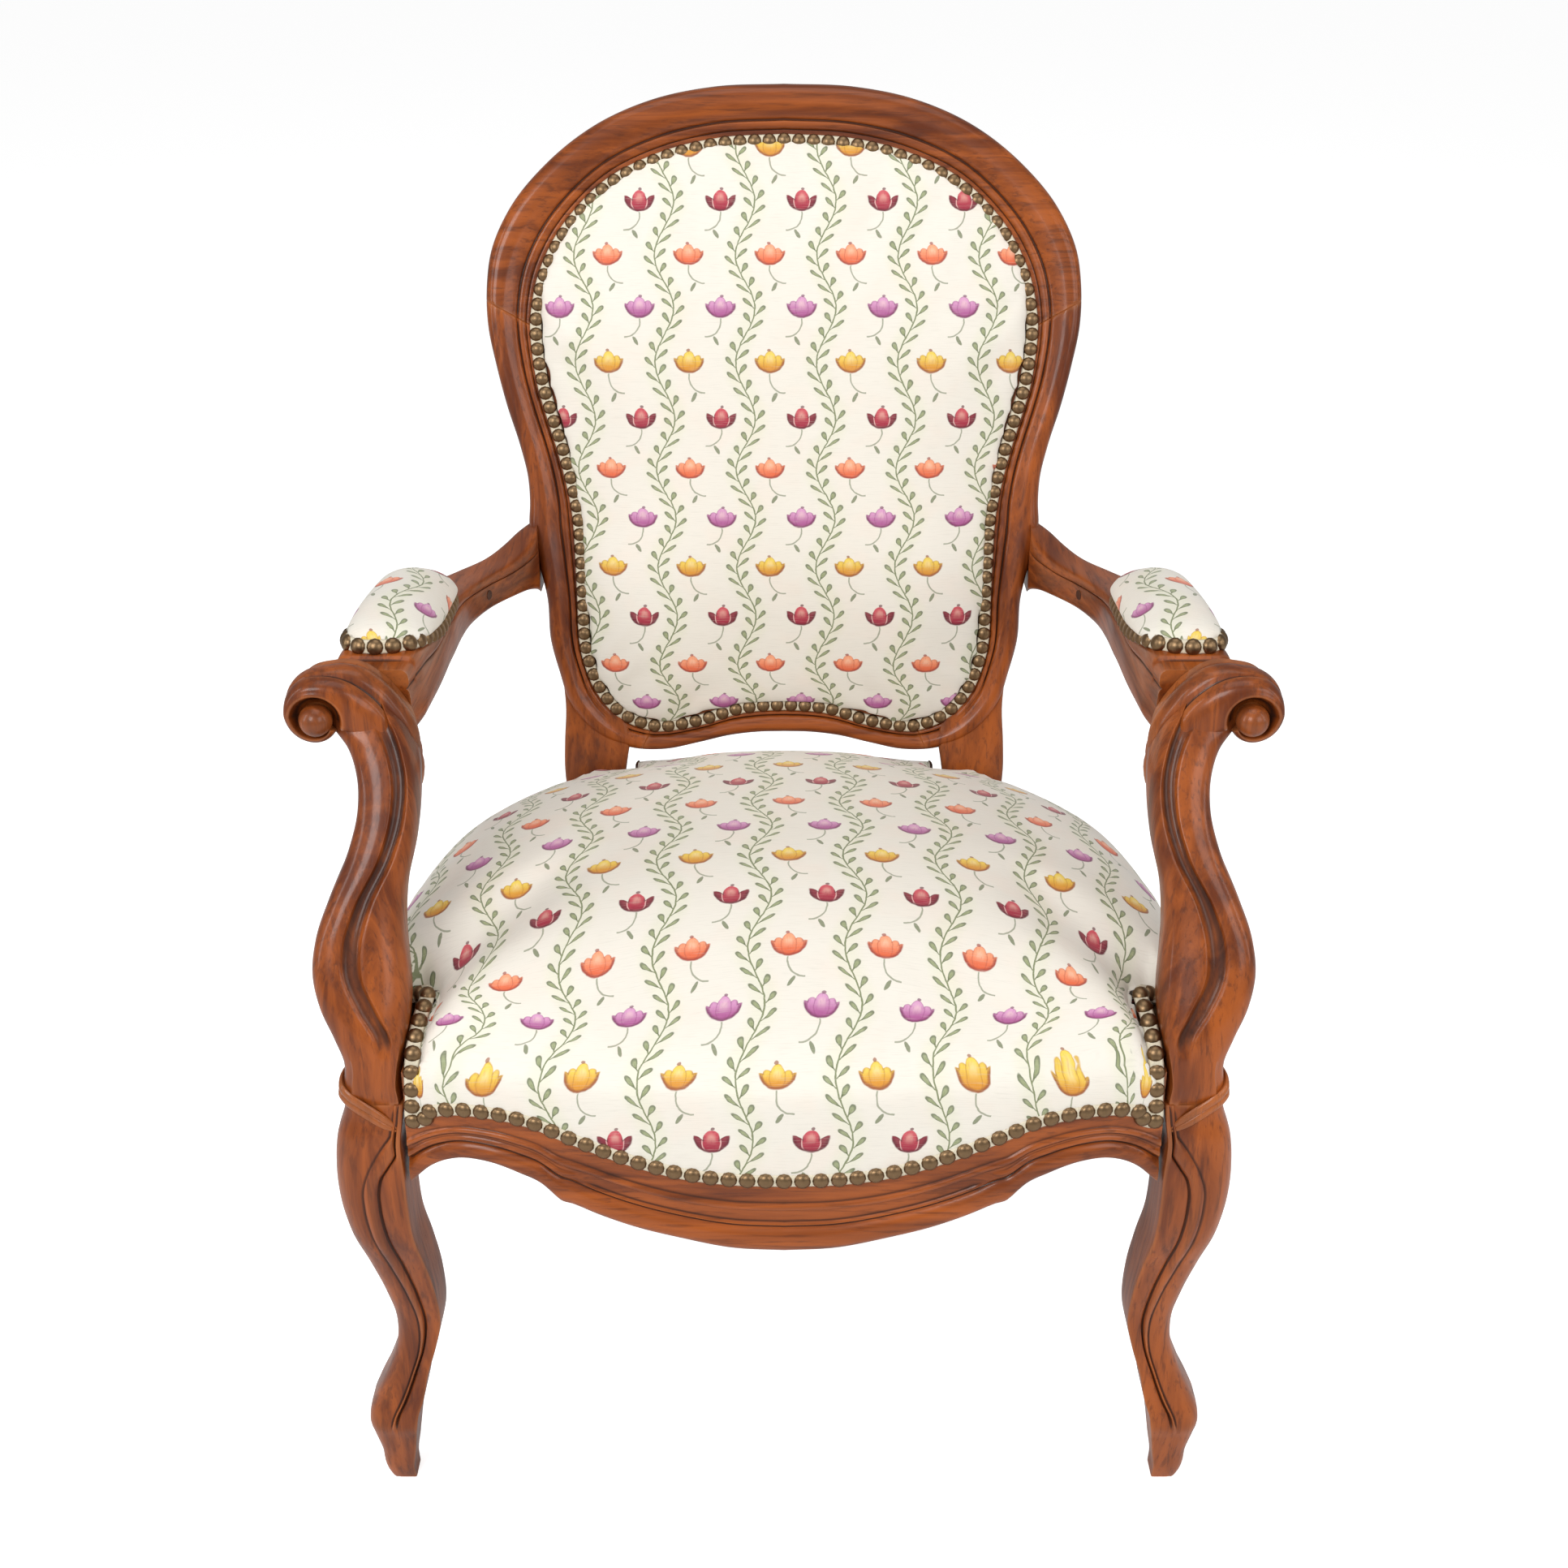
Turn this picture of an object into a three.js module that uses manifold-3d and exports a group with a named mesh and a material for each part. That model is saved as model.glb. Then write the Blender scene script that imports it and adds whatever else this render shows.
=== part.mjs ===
// Open-arm upholstered chair with a frame of carved walnut, in millimetres.
// X runs to the right of someone facing the chair, Y runs to its rear and Z runs up.
// The frame is glued: rails and crest have tenons, arms and their supports have dowels.

import * as THREE from 'three';
import { mergeVertices } from 'three/addons/utils/BufferGeometryUtils.js';
import Module from 'manifold-3d';

const wasm = await Module();
wasm.setup();

// Fits
const GAP = 0.3;                    // clearance between pieces that touch
const BLOCK_GAP = 0.5;              // clearance of a glue block to the curved rails
const REACH = 2000;                 // overrun of a trimming block
const QUARTER_TURN = Math.PI / 2;

// Front legs: where the post stands and how far the leg swings in and out
const POST_X = 300;                 // outer face of the post from the centre plane
const POST_Y = 308;                 // front face of the post from the datum line
const LEG_HEIGHT = 362;
const LEG_SWING = 14;
const LEG_WIDTH = 52;               // across the knee
// height, swing outwards, width and swing forwards, as shares of the three sizes above
const LEG_SHARES = [
  [0, 0.2, 0.38, -1.07], [0.033, 0.43, 0.44, -1], [0.08, 0.5, 0.52, -0.93], [0.127, 0.79, 0.65, -0.86],
  [0.163, 0.93, 0.73, -0.79], [0.207, 0.57, 0.71, -0.79], [0.273, -0.29, 0.6, -0.86],
  [0.34, -0.86, 0.58, -0.93], [0.406, -1, 0.65, -0.93], [0.492, -0.64, 0.75, -0.64],
  [0.575, -0.07, 0.83, -0.07], [0.657, 0.5, 0.9, 0.43], [0.738, 0.79, 0.96, 0.64], [0.818, 0.79, 0.96, 0.64],
  [0.895, 0.57, 0.88, 0.43], [0.953, 0.2, 0.82, 0.14], [1, 0, 0.79, 0],
];
const POST_SHARE = 0.79;

// Seat frame: the tops of its rails lie in one plane that falls to the rear
const SEAT_RISE = 26;               // rail tops above the leg's upper joint, at the front face of the post
const SEAT_FALL = 4.4;              // degrees
const FRONT_RAIL_DEPTH = 128;       // height of the front rail at its middle
const FRONT_BOW = 29;               // how far its middle stands ahead of its ends
const RAIL_THICKNESS = 32;
const LIP_THICKNESS = 13;           // part of the front rail that hangs below the webbing
const SIDE_RAIL_DEPTH = 84;
const REAR_RAIL_DEPTH = 84;
const COVER = 4;                    // thickness of the cover where it is tacked to a rail
const REBATE = COVER + 2 * GAP;
const RAIL_EDGE = 3;                // easing of the rails' long edges
// place along half the front rail, then its lower edge and its nail line below the rail top
const FRONT_RAIL_SHARES = [
  [0, 1, 0.547], [0.14, 0.985, 0.54], [0.27, 0.93, 0.508], [0.4, 0.867, 0.437],
  [0.53, 0.766, 0.344], [0.615, 0.69, 0.27], [0.645, 0.645, 0.25], [0.7, 0.57, 0.225],
  [0.787, 0.51, 0.203], [0.872, 0.516, 0.203], [0.94, 0.586, 0.25], [1, 0.68, 0.28],
];
// place along the side rail from the front, then its lower edge and its nail line
const SIDE_RAIL_SHARES = [
  [0, 1, 0.4], [0.02, 0.88, 0.4], [0.048, 0.84, 0.4], [0.08, 0.9, 0.41], [0.115, 0.97, 0.43],
  [0.17, 0.99, 0.45], [0.26, 1, 0.47], [0.38, 1, 0.49], [0.5, 1, 0.49], [0.62, 1, 0.48],
  [0.74, 1, 0.46], [0.87, 0.99, 0.44], [1, 0.98, 0.42],
];
// outer face of the side rail: place from front to rear, and outward from its rear end
const SIDE_PLAN_SHARES = [
  [0, 1], [0.2, 0.99], [0.41, 0.925], [0.62, 0.755], [0.82, 0.455], [1, 0],
];
const PLAN_SAMPLES = 54;
const REAR_NAIL_SHARE = 0.4;

// Rail tenons
const TENON_LENGTH = 16;
const TENON_THICKNESS = 9;
const TENON_HEIGHT = 24;
const TENON_DROP = 50;              // top of a tenon below the rail tops
const TENON_SETBACK = 5;            // cheek of a tenon behind the show face

// Rear legs, which carry on upwards as the stiles of the back
const REAR_SHARE = 0.755;           // outer face at the seat, as a share of the back's half width
const REAR_Y = 160;                 // front face at the seat
const REAR_LEG_WIDTH = 45;
const REAR_LEG_THICKNESS = 42;
const REAR_SPLAY_BACK = 118;
const REAR_SPLAY_OUT = 23;
// height, splay to the rear, splay outwards, width and thickness below the seat
const REAR_LEG_SHARES = [
  [0, 1, 1, 0.67, 0.67], [0.16, 0.79, 0.7, 0.69, 0.72], [0.33, 0.53, 0.43, 0.73, 0.79],
  [0.49, 0.27, 0.22, 0.8, 0.88], [0.66, 0.09, 0.09, 0.91, 0.95], [0.82, 0, 0.04, 1, 1],
  [0.97, 0, 0, 1, 1],
];

// Back frame
const BACK_DROP = 22;               // where the straight back begins, below the rail tops at the front
const BACK_HEIGHT = 580;
const BACK_HALF_WIDTH = 253;
const BACK_RECLINE = 14.9;          // degrees from upright
const BACK_HOLLOW = 20;             // how far the widest point stands ahead of the middle
const BACK_THICKNESS = 38;
const BACK_REBATE = 5;
const TACK_WIDTH = 14;              // wood under the cover, inside the nail line
const SHOULDER_SHARE = 0.71;        // height of the joint between stile and crest
const STILE_JOINT_SHARE = 0.506;    // joint between stile and bottom rail, across the half width
const STILE_FOOT_SHARE = 0.577;     // inner edge of the stile at the seat
// outer edge and nail line of the frame, across and up, from the seat to the top
const FRAME_SHARES = [
  [0.747, 0.033, 0.6, 0.033], [0.739, 0.056, 0.57, 0.056], [0.743, 0.076, 0.56, 0.076],
  [0.751, 0.101, 0.545, 0.101], [0.755, 0.12, 0.593, 0.12], [0.767, 0.146, 0.64, 0.146],
  [0.783, 0.172, 0.668, 0.172], [0.806, 0.22, 0.688, 0.215], [0.822, 0.281, 0.696, 0.276],
  [0.842, 0.337, 0.7, 0.332], [0.842, 0.389, 0.708, 0.389], [0.874, 0.441, 0.723, 0.441],
  [0.901, 0.505, 0.751, 0.505], [0.941, 0.5625, 0.787, 0.5625], [0.972, 0.62, 0.814, 0.615],
  [0.996, 0.677, 0.83, 0.663], [1, 0.719, 0.834, 0.693], [0.98, 0.776, 0.814, 0.736],
  [0.913, 0.837, 0.775, 0.774], [0.791, 0.896, 0.704, 0.816], [0.628, 0.946, 0.577, 0.865],
  [0.443, 0.979, 0.411, 0.899], [0.229, 0.997, 0.217, 0.917], [0, 1, 0, 0.922],
];
const FRAME_SAMPLES = 27;
// section of the frame: from its outer edge to the nail line, and from front to back
const FRAME_SECTION_SHARES = [
  [0, 0.45], [0.05, 0.16], [0.22, 0], [0.5, 0.02], [0.8, 0.07], [1, 0.12],
];
const FRAME_BACK_SHARES = [[0.85, 0.97], [0.3, 1], [0.05, 0.82]];
const TACK_BACK_SHARE = 0.8;
// bottom rail: place along it, lower edge and nail line as heights on the back
const BOTTOM_RAIL_SHARES = [
  [0, 0.073, 0.116], [0.3, 0.07, 0.113], [0.55, 0.058, 0.1], [0.82, 0.049, 0.087], [1, 0.05, 0.092],
];
const BOTTOM_RAIL_THICKNESS = 32;

// Arm supports: height, outward place, width, setback and depth of each section
const SUPPORT_HEIGHT = 280;
const SUPPORT_SWELL = 26;
const SUPPORT_LEAN = 112;
const SUPPORT_WIDTH = 61;
const SUPPORT_DEPTH = 46;
const SUPPORT_SHARES = [
  [0, -0.08, 0.6, 0, 0.89], [0.036, 0, 0.67, -0.02, 0.93], [0.1, -0.12, 0.62, -0.01, 0.91],
  [0.171, 0.15, 0.8, 0.01, 0.96], [0.243, 0.46, 0.97, 0.05, 1], [0.325, 0.62, 1, 0.125, 1],
  [0.393, 0.54, 0.95, 0.205, 1], [0.479, 0.19, 0.84, 0.32, 0.98], [0.579, -0.31, 0.77, 0.46, 0.96],
  [0.661, -0.54, 0.74, 0.59, 0.95], [0.746, -0.54, 0.73, 0.71, 1], [0.814, -0.15, 0.85, 0.81, 1.15],
  [0.871, 0.69, 1.18, 0.87, 1.15], [0.921, 1, 1.28, 0.9, 1.05], [0.971, 0.69, 1.02, 0.95, 0.9],
  [1, 0.19, 0.66, 1, 0.66],
];
const SCROLL_RADIUS = 20;
const SCROLL_EYE_RADIUS = 9.5;
const SCROLL_HEIGHT_SHARE = 0.88;
const SCROLL_SIDES = 20;

// Arms
const ARM_SETBACK = 139;            // front end of the arm behind the face of the post
const ARM_INSET = 17;               // front end of the arm inside the outer face of the post
const ARM_DROP = 49;                // its middle below the top of the support
const ARM_FALL = 32;                // its rear end below its front end
const ARM_REAR_SHARE = 0.842;       // side of the stile that the arm meets, across the half width
const ARM_SWAY = 31.4;
const ARM_WIDTH = 56;
const ARM_HEIGHT = 46;
// place forwards, sway outwards, rise, width, height and turn of each section
const ARM_SHARES = [
  [0, 0, 0, 0.66, 1.35, 1], [0.036, 0.14, 0.03, 0.64, 1.09, 0.67], [0.089, 0.28, 0.06, 0.6, 0.83, 0.44],
  [0.161, 0.5, 0.09, 0.59, 0.67, 0.36], [0.245, 0.82, 0.16, 0.63, 0.65, 0.27],
  [0.339, 1, 0.28, 0.71, 0.72, 0.18], [0.466, 1, 0.5, 0.86, 0.87, 0.09],
  [0.609, 0.81, 0.72, 0.96, 0.96, 0.03], [0.753, 0.52, 0.84, 1, 1, 0.01],
  [0.883, 0.26, 0.94, 1, 1, 0], [1, 0, 1, 0.95, 1, 0],
];
const BOSS_DEPTH = 14;
const BOSS_SHARE = 0.42;
const PEG_RADIUS = 4;
const PEG_LENGTH = 12;
const PEG_SHARE = 0.27;

// Dowels
const DOWEL_RADIUS = 5;
const DOWEL_DEPTH = 15;
const ROUND_SIDES = 14;

// Arm pads
const ARM_PAD_START_SHARE = 0.5;
const ARM_PAD_END_SHARE = 0.93;
const ARM_PAD_HEIGHT = 36;
const ARM_PAD_STEPS = 12;
const ARM_PAD_SECTION_SHARES = [
  [-0.94, 0], [-1.04, 0.3], [-0.93, 0.62], [-0.66, 0.86], [-0.25, 0.99], [0.25, 0.99],
  [0.66, 0.86], [0.93, 0.62], [1.04, 0.3], [0.94, 0],
];
const ARM_PAD_POWER = 4;             // squareness of its ends
const ARM_PAD_END_HEIGHT_SHARE = 0.22;
const ARM_PAD_END_WIDTH_SHARE = 0.62;

// Seat upholstery
const HESSIAN = 1.5;
const SEAT_EDGE_FRONT = 54;         // height of the seat's edge above the rail tops
const SEAT_EDGE_REAR = 26;
const SEAT_CROWN = 82;
const SEAT_ROLL = 34;
const SEAT_BULGE = 3;
const SEAT_CENTRE_SHARE = 0.57;     // crown's place from the front rail to the rear rail
const CROWN_POWER = 0.42;
const SEAT_BORDER_SHARES = [[0, 0], [-1, 0.42], [-0.6, 0.72]];
const SEAT_ROLL_SHARES = [[0.28, 0.93], [0.62, 0.985], [1, 1]];
const SEAT_INNER_SHARES = [0.8, 0.62, 0.42, 0.2];
const NOTCH_DEPTH = 62;             // from the post's front face to the rear of the notch
const NOTCH_WIDTH = 50;             // from the post's outer face to the notch's inner side
const NOTCH_HEM = 8;                // hem above the rail tops beside an arm support
const NOTCH_EASE = 6;               // how far the front corner is drawn in beside the support
const NOTCH_TURN_SHARES = [0.4, 0.45];
const HEM_TURN = 1;                 // length over which a hem steps at a corner
const SIDE_STEPS = 9;
const REAR_STEPS = 4;

// Springs and webbing
const WEB_WIDTH = 48;
const WEB_THICKNESS = 2;
const WEB_DROP = 80;                // underside of the rails below the rail tops, where webbing is tacked
const WEB_TACK = 16;
const WEB_CROSS_SHARES = [0.28, 0.46, 0.64, 0.82];
const WEB_LONG_SHARES = [-0.36, -0.12, 0.12, 0.36];
const DUST_COVER = 1.2;
const SPRING_RADIUS = 34;
const SPRING_WAIST_SHARE = 0.78;
const SPRING_WIRE = 3.6;
const SPRING_TURNS = 4;
const SPRING_FLAT_TURNS = 0.75;     // of each end, which lies in the plane of the webbing
const TURN_STEPS = 8;
const WIRE_SIDES = 5;
const SPRING_SHARES = [[-0.25, 0.3], [0.25, 0.3], [0, 0.505], [-0.25, 0.71], [0.25, 0.71]];

// Back upholstery
const BACK_CROWN = 20;
const BACK_PAD_INSET = 1;
const BACK_PAD_SAMPLES = 30;
const BACK_PAD_CENTRE_SHARE = 0.53;
const BACK_PAD_SHARES = [[0.93, 0.5], [0.8, 0.72], [0.6, 0.88], [0.4, 0.96], [0.2, 1]];
const BACK_EDGE = 5;
const OUTER_BACK_SHARE = 0.6;       // its edge, from the outer edge of the frame to the nail line
const OUTER_BACK = 2.5;
const BACK_WEB_ROWS_SHARES = [0.24, 0.42, 0.6, 0.78];
const BACK_WEB_COLUMNS_SHARES = [-0.26, 0.26];
const WEB_STAGGER = 0.5;

// Glue blocks
const GLUE_BLOCK = 46;
const GLUE_BLOCK_HEIGHT = 26;
const GLUE_BLOCK_DROP = 34;

// Materials
const walnut = new THREE.MeshStandardMaterial({ color: 0x7d4320, roughness: 0.38, metalness: 0 });
const beech = new THREE.MeshStandardMaterial({ color: 0xc79b68, roughness: 0.7, metalness: 0 });
const cover = new THREE.MeshStandardMaterial({ color: 0xeae2d2, roughness: 0.75, metalness: 0 });
const jute = new THREE.MeshStandardMaterial({ color: 0xa98a5c, roughness: 0.95, metalness: 0 });
const cambric = new THREE.MeshStandardMaterial({ color: 0x26221f, roughness: 0.95, metalness: 0 });
const springWire = new THREE.MeshStandardMaterial({ color: 0x8d8a84, roughness: 0.4, metalness: 0.9 });

const chair = new THREE.Group();
const point = (x, y, z) => new THREE.Vector3(x, y, z);
const mix = THREE.MathUtils.lerp;

// Solids

function solidFrom(geometry) {
  geometry.deleteAttribute('normal');
  geometry.deleteAttribute('uv');
  const merged = mergeVertices(geometry);
  const vertProperties = new Float32Array(merged.attributes.position.array);
  const triVerts = new Uint32Array(merged.index.array);
  return new wasm.Manifold(new wasm.Mesh({ numProp: 3, vertProperties, triVerts }));
}

function geometryFrom(solid) {
  const mesh = solid.getMesh();
  const geometry = new THREE.BufferGeometry();
  geometry.setAttribute('position', new THREE.BufferAttribute(new Float32Array(mesh.vertProperties), 3));
  geometry.setIndex(new THREE.BufferAttribute(new Uint32Array(mesh.triVerts), 1));
  geometry.computeVertexNormals();
  return geometry;
}

function signedVolume(points, faces) {
  let sum = 0;
  for (let f = 0; f < faces.length; f += 3) {
    const [a, b, c] = [points[faces[f]], points[faces[f + 1]], points[faces[f + 2]]];
    sum += a.dot(b.clone().cross(c));
  }
  return sum;
}

// A solid through a list of rings, closed by a fan at each end.
function loft(rings) {
  const sides = rings[0].length;
  const points = rings.flat();
  const faces = [];
  for (let r = 0; r + 1 < rings.length; r++) {
    for (let i = 0; i < sides; i++) {
      const a = r * sides + i;
      const b = r * sides + (i + 1) % sides;
      faces.push(a, b, a + sides, b, b + sides, a + sides);
    }
  }
  const lastStart = points.length - sides;
  for (const [ring, start] of [[rings[0], 0], [rings.at(-1), lastStart]]) {
    const centre = ring.reduce((sum, p) => sum.add(p), point(0, 0, 0)).divideScalar(sides);
    const hub = points.push(centre) - 1;
    for (let i = 0; i < sides; i++) {
      const [a, b] = [start + i, start + (i + 1) % sides];
      faces.push(...(start === 0 ? [b, a, hub] : [a, b, hub]));
    }
  }
  if (signedVolume(points, faces) < 0) {
    faces.reverse();
  }
  const geometry = new THREE.BufferGeometry().setFromPoints(points);
  geometry.setIndex(faces);
  return solidFrom(geometry);
}

function block(low, high) {
  const size = high.clone().sub(low);
  const geometry = new THREE.BoxGeometry(size.x, size.y, size.z);
  const middle = low.clone().add(high).divideScalar(2);
  geometry.translate(middle.x, middle.y, middle.z);
  return solidFrom(geometry);
}

function rod(from, to, radius) {
  const along = to.clone().sub(from);
  const geometry = new THREE.CylinderGeometry(radius, radius, along.length(), ROUND_SIDES);
  const turn = new THREE.Quaternion().setFromUnitVectors(point(0, 1, 0), along.clone().normalize());
  geometry.applyQuaternion(turn);
  const middle = from.clone().add(to).divideScalar(2);
  geometry.translate(middle.x, middle.y, middle.z);
  return solidFrom(geometry);
}

function ball(centre, radius) {
  const geometry = new THREE.SphereGeometry(radius, ROUND_SIDES, ROUND_SIDES / 2);
  geometry.translate(centre.x, centre.y, centre.z);
  return solidFrom(geometry);
}

// A slab that lies parallel to the rail tops, its underside a given drop below them.
function seatSlab(outline, drop, thickness) {
  const rings = [drop, drop - thickness].map((d) => outline.map((p) => point(p.x, p.y, railTop(p.y) - d)));
  return loft(rings);
}

function mirrored(solid) {
  const geometry = geometryFrom(solid);
  geometry.scale(-1, 1, 1);
  const index = Array.from(geometry.index.array).reverse();
  geometry.setIndex(index);
  return solidFrom(geometry);
}

function above(z) {
  return block(point(-REACH, -REACH, z), point(REACH, REACH, REACH));
}

function addPart(name, solid, material) {
  const mesh = new THREE.Mesh(geometryFrom(solid), material);
  mesh.name = name;
  chair.add(mesh);
}

function addPair(name, leftSolid, material) {
  addPart(name + '_left', leftSolid, material);
  addPart(name + '_right', mirrored(leftSolid), material);
}

// Curves

function smooth(points, steps) {
  return new THREE.CatmullRomCurve3(points, false, 'centripetal').getPoints(steps);
}

// Value of a table of rows at a place in its first column, between rows by a straight line.
function lookUp(rows, place, column) {
  const last = rows.length - 1;
  const at = Math.min(Math.max(place, rows[0][0]), rows[last][0]);
  const next = Math.max(1, rows.findIndex((row) => row[0] >= at));
  const [a, b] = [rows[next - 1], rows[next]];
  return mix(a[column], b[column], (at - a[0]) / (b[0] - a[0]));
}

// A twelve-point squared ring round a centre, across by two half vectors.
const SQUARE_SHARES = [
  [-1, -0.55], [-0.86, -0.86], [-0.55, -1], [0.55, -1], [0.86, -0.86], [1, -0.55],
  [1, 0.55], [0.86, 0.86], [0.55, 1], [-0.55, 1], [-0.86, 0.86], [-1, 0.55],
];
function squareRing(centre, halfAcross, halfUp) {
  return SQUARE_SHARES.map(([a, b]) =>
    centre.clone().addScaledVector(halfAcross, a).addScaledVector(halfUp, b));
}

// Seat geometry

const seatTop = LEG_HEIGHT + SEAT_RISE;
const rearX = BACK_HALF_WIDTH * REAR_SHARE;
const seatSlope = Math.tan(THREE.MathUtils.degToRad(SEAT_FALL));
const postWidth = LEG_WIDTH * POST_SHARE;
const postInnerX = POST_X - postWidth;
const postRearY = -POST_Y + postWidth;
const frontRailHalf = postInnerX - GAP;
const sideRailFrontY = postRearY + GAP;
const sideRailRearY = REAR_Y - GAP;
const rearRailHalf = rearX - REAR_LEG_WIDTH - GAP;
const rearRailRearY = REAR_Y + REAR_LEG_THICKNESS;
const rearRailFrontY = rearRailRearY - RAIL_THICKNESS;

function railTop(y) {
  return seatTop - seatSlope * (y + POST_Y);
}

// Outer face of the front rail, as a place before the datum line.
function frontFaceY(x) {
  const share = x / frontRailHalf;
  return -POST_Y - RAIL_EDGE - FRONT_BOW * (1 - share * share);
}

const sidePlan = smooth(
  SIDE_PLAN_SHARES.map(([along, out]) => point(mix(rearX, POST_X, out), mix(postRearY, REAR_Y, along), 0)),
  PLAN_SAMPLES,
);

// Outer face of the side rail, as a distance from the centre plane.
function sideFaceX(y) {
  const found = sidePlan.findIndex((p) => p.y >= y);
  const next = found < 0 ? sidePlan.length - 1 : Math.max(1, found);
  const [a, b] = [sidePlan[next - 1], sidePlan[next]];
  return mix(a.x, b.x, (y - a.y) / (b.y - a.y));
}

// Depths are square to a rail's curved face, so they are longer along X or Y.
function frontStretch(x) {
  return Math.hypot(1, 2 * FRONT_BOW * x / (frontRailHalf * frontRailHalf));
}

function sideStretch(y) {
  return Math.hypot(1, (sideFaceX(y + RAIL_EDGE) - sideFaceX(y - RAIL_EDGE)) / (2 * RAIL_EDGE));
}

function sideRailShare(y) {
  return (y - sideRailFrontY) / (sideRailRearY - sideRailFrontY);
}

// Nail line of the side rail, below the rail tops.
function sideNailDrop(y) {
  return SIDE_RAIL_DEPTH * lookUp(SIDE_RAIL_SHARES, sideRailShare(y), 2);
}

// Section of a rail: depth from the show face and drop below the rail tops.
// The webbing is tacked behind the lip, on the part of the underside that is flat.
function railSection(low, nails, lip) {
  const inner = Math.min(WEB_DROP, low - RAIL_EDGE);
  return [
    [RAIL_EDGE, low], [0, low - RAIL_EDGE], [0, nails + RAIL_EDGE], [REBATE, nails], [REBATE, 0],
    [RAIL_THICKNESS, 0], [RAIL_THICKNESS, inner], [lip, inner], [lip, low],
  ];
}

// A point of a rail, measured down from the plane of the rail tops.
function railPoint(x, y, drop) {
  return point(x, y, railTop(y) - drop);
}

// Front legs and arm supports

function frontLeg() {
  const rings = LEG_SHARES.map(([up, swing, width, forward]) => {
    const size = LEG_WIDTH * width;
    const outer = POST_X + LEG_SWING * swing;
    const front = POST_Y + LEG_SWING * forward;
    const centre = point(-outer + size / 2, -front + size / 2, LEG_HEIGHT * up);
    return squareRing(centre, point(size / 2, 0, 0), point(0, size / 2, 0));
  });
  return loft(rings)
    .subtract(frontRailTenon(GAP))
    .subtract(sideRailFrontTenon(GAP))
    .subtract(supportDowel(GAP));
}

function supportBody(extra) {
  const rings = SUPPORT_SHARES.map(([up, swell, width, lean, depth]) => {
    const outer = POST_X + SUPPORT_SWELL * swell;
    const front = -POST_Y + SUPPORT_LEAN * lean;
    const half = point(SUPPORT_WIDTH * width / 2, SUPPORT_DEPTH * depth / 2, 0);
    const centre = point(-outer + half.x, front + half.y, LEG_HEIGHT + GAP + SUPPORT_HEIGHT * up);
    return squareRing(centre, point(half.x + extra, 0, 0), point(0, half.y + extra, 0));
  });
  return loft(rings);
}

function armSupport() {
  const behindJoint = block(point(-REACH, armFrontY - GAP, armFrontZ - ARM_HEIGHT), point(0, 0, REACH));
  return supportBody(0)
    .add(scroll())
    .subtract(behindJoint)
    .subtract(supportDowel(GAP))
    .subtract(armFrontDowel(GAP));
}

function scroll() {
  const x = -POST_X - SUPPORT_SWELL / 2;
  const z = LEG_HEIGHT + SUPPORT_HEIGHT * SCROLL_HEIGHT_SHARE;
  const front = armFrontY - SUPPORT_DEPTH;
  const drum = new THREE.CylinderGeometry(SCROLL_RADIUS, SCROLL_RADIUS, SUPPORT_DEPTH, SCROLL_SIDES);
  drum.translate(x, front + SUPPORT_DEPTH / 2, z);
  return solidFrom(drum).add(ball(point(x, front, z), SCROLL_EYE_RADIUS));
}

function supportDowel(extra) {
  const x = -POST_X + postWidth / 2;
  const y = -POST_Y + postWidth / 2;
  const reach = DOWEL_DEPTH + extra;
  return rod(point(x, y, LEG_HEIGHT - reach), point(x, y, LEG_HEIGHT + GAP + reach), DOWEL_RADIUS + extra);
}

// Rails

function frontRail() {
  const half = FRONT_RAIL_SHARES.map(([along]) => along);
  const places = [...half.slice(1).reverse().map((share) => -share), ...half];
  const rings = places.map((share) => {
    const x = frontRailHalf * share;
    const low = FRONT_RAIL_DEPTH * lookUp(FRONT_RAIL_SHARES, Math.abs(share), 1);
    const nails = FRONT_RAIL_DEPTH * lookUp(FRONT_RAIL_SHARES, Math.abs(share), 2);
    const section = railSection(low, nails, LIP_THICKNESS);
    return section.map(([depth, drop]) => railPoint(x, frontFaceY(x) + depth * frontStretch(x), drop));
  });
  const tenon = frontRailTenon(0);
  const support = supportBody(GAP);
  return loft(rings).subtract(support).subtract(mirrored(support)).add(tenon).add(mirrored(tenon));
}

function frontRailTenon(extra) {
  const top = railTop(-POST_Y) - TENON_DROP + extra;
  const front = -POST_Y + TENON_SETBACK - extra;
  const low = point(-postInnerX - TENON_LENGTH - extra, front, top - TENON_HEIGHT - 2 * extra);
  const high = point(-frontRailHalf + RAIL_EDGE, front + TENON_THICKNESS + 2 * extra, top);
  return block(low, high);
}

function sideRail() {
  const rings = SIDE_RAIL_SHARES.map(([share, low, nails]) => {
    const y = mix(sideRailFrontY, sideRailRearY, share);
    const section = railSection(SIDE_RAIL_DEPTH * low, SIDE_RAIL_DEPTH * nails, RAIL_THICKNESS / 2);
    return section.map(([depth, drop]) => railPoint(-sideFaceX(y) + depth * sideStretch(y), y, drop));
  });
  return loft(rings)
    .subtract(supportBody(GAP))
    .add(sideRailFrontTenon(0))
    .add(sideRailRearTenon(0));
}

function sideRailFrontTenon(extra) {
  const top = railTop(postRearY) - TENON_DROP + extra;
  const outer = -POST_X + TENON_SETBACK + RAIL_EDGE - extra;
  const low = point(outer, postRearY - TENON_LENGTH - extra, top - TENON_HEIGHT - 2 * extra);
  const high = point(outer + TENON_THICKNESS + 2 * extra, sideRailFrontY + RAIL_EDGE, top);
  return block(low, high);
}

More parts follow.
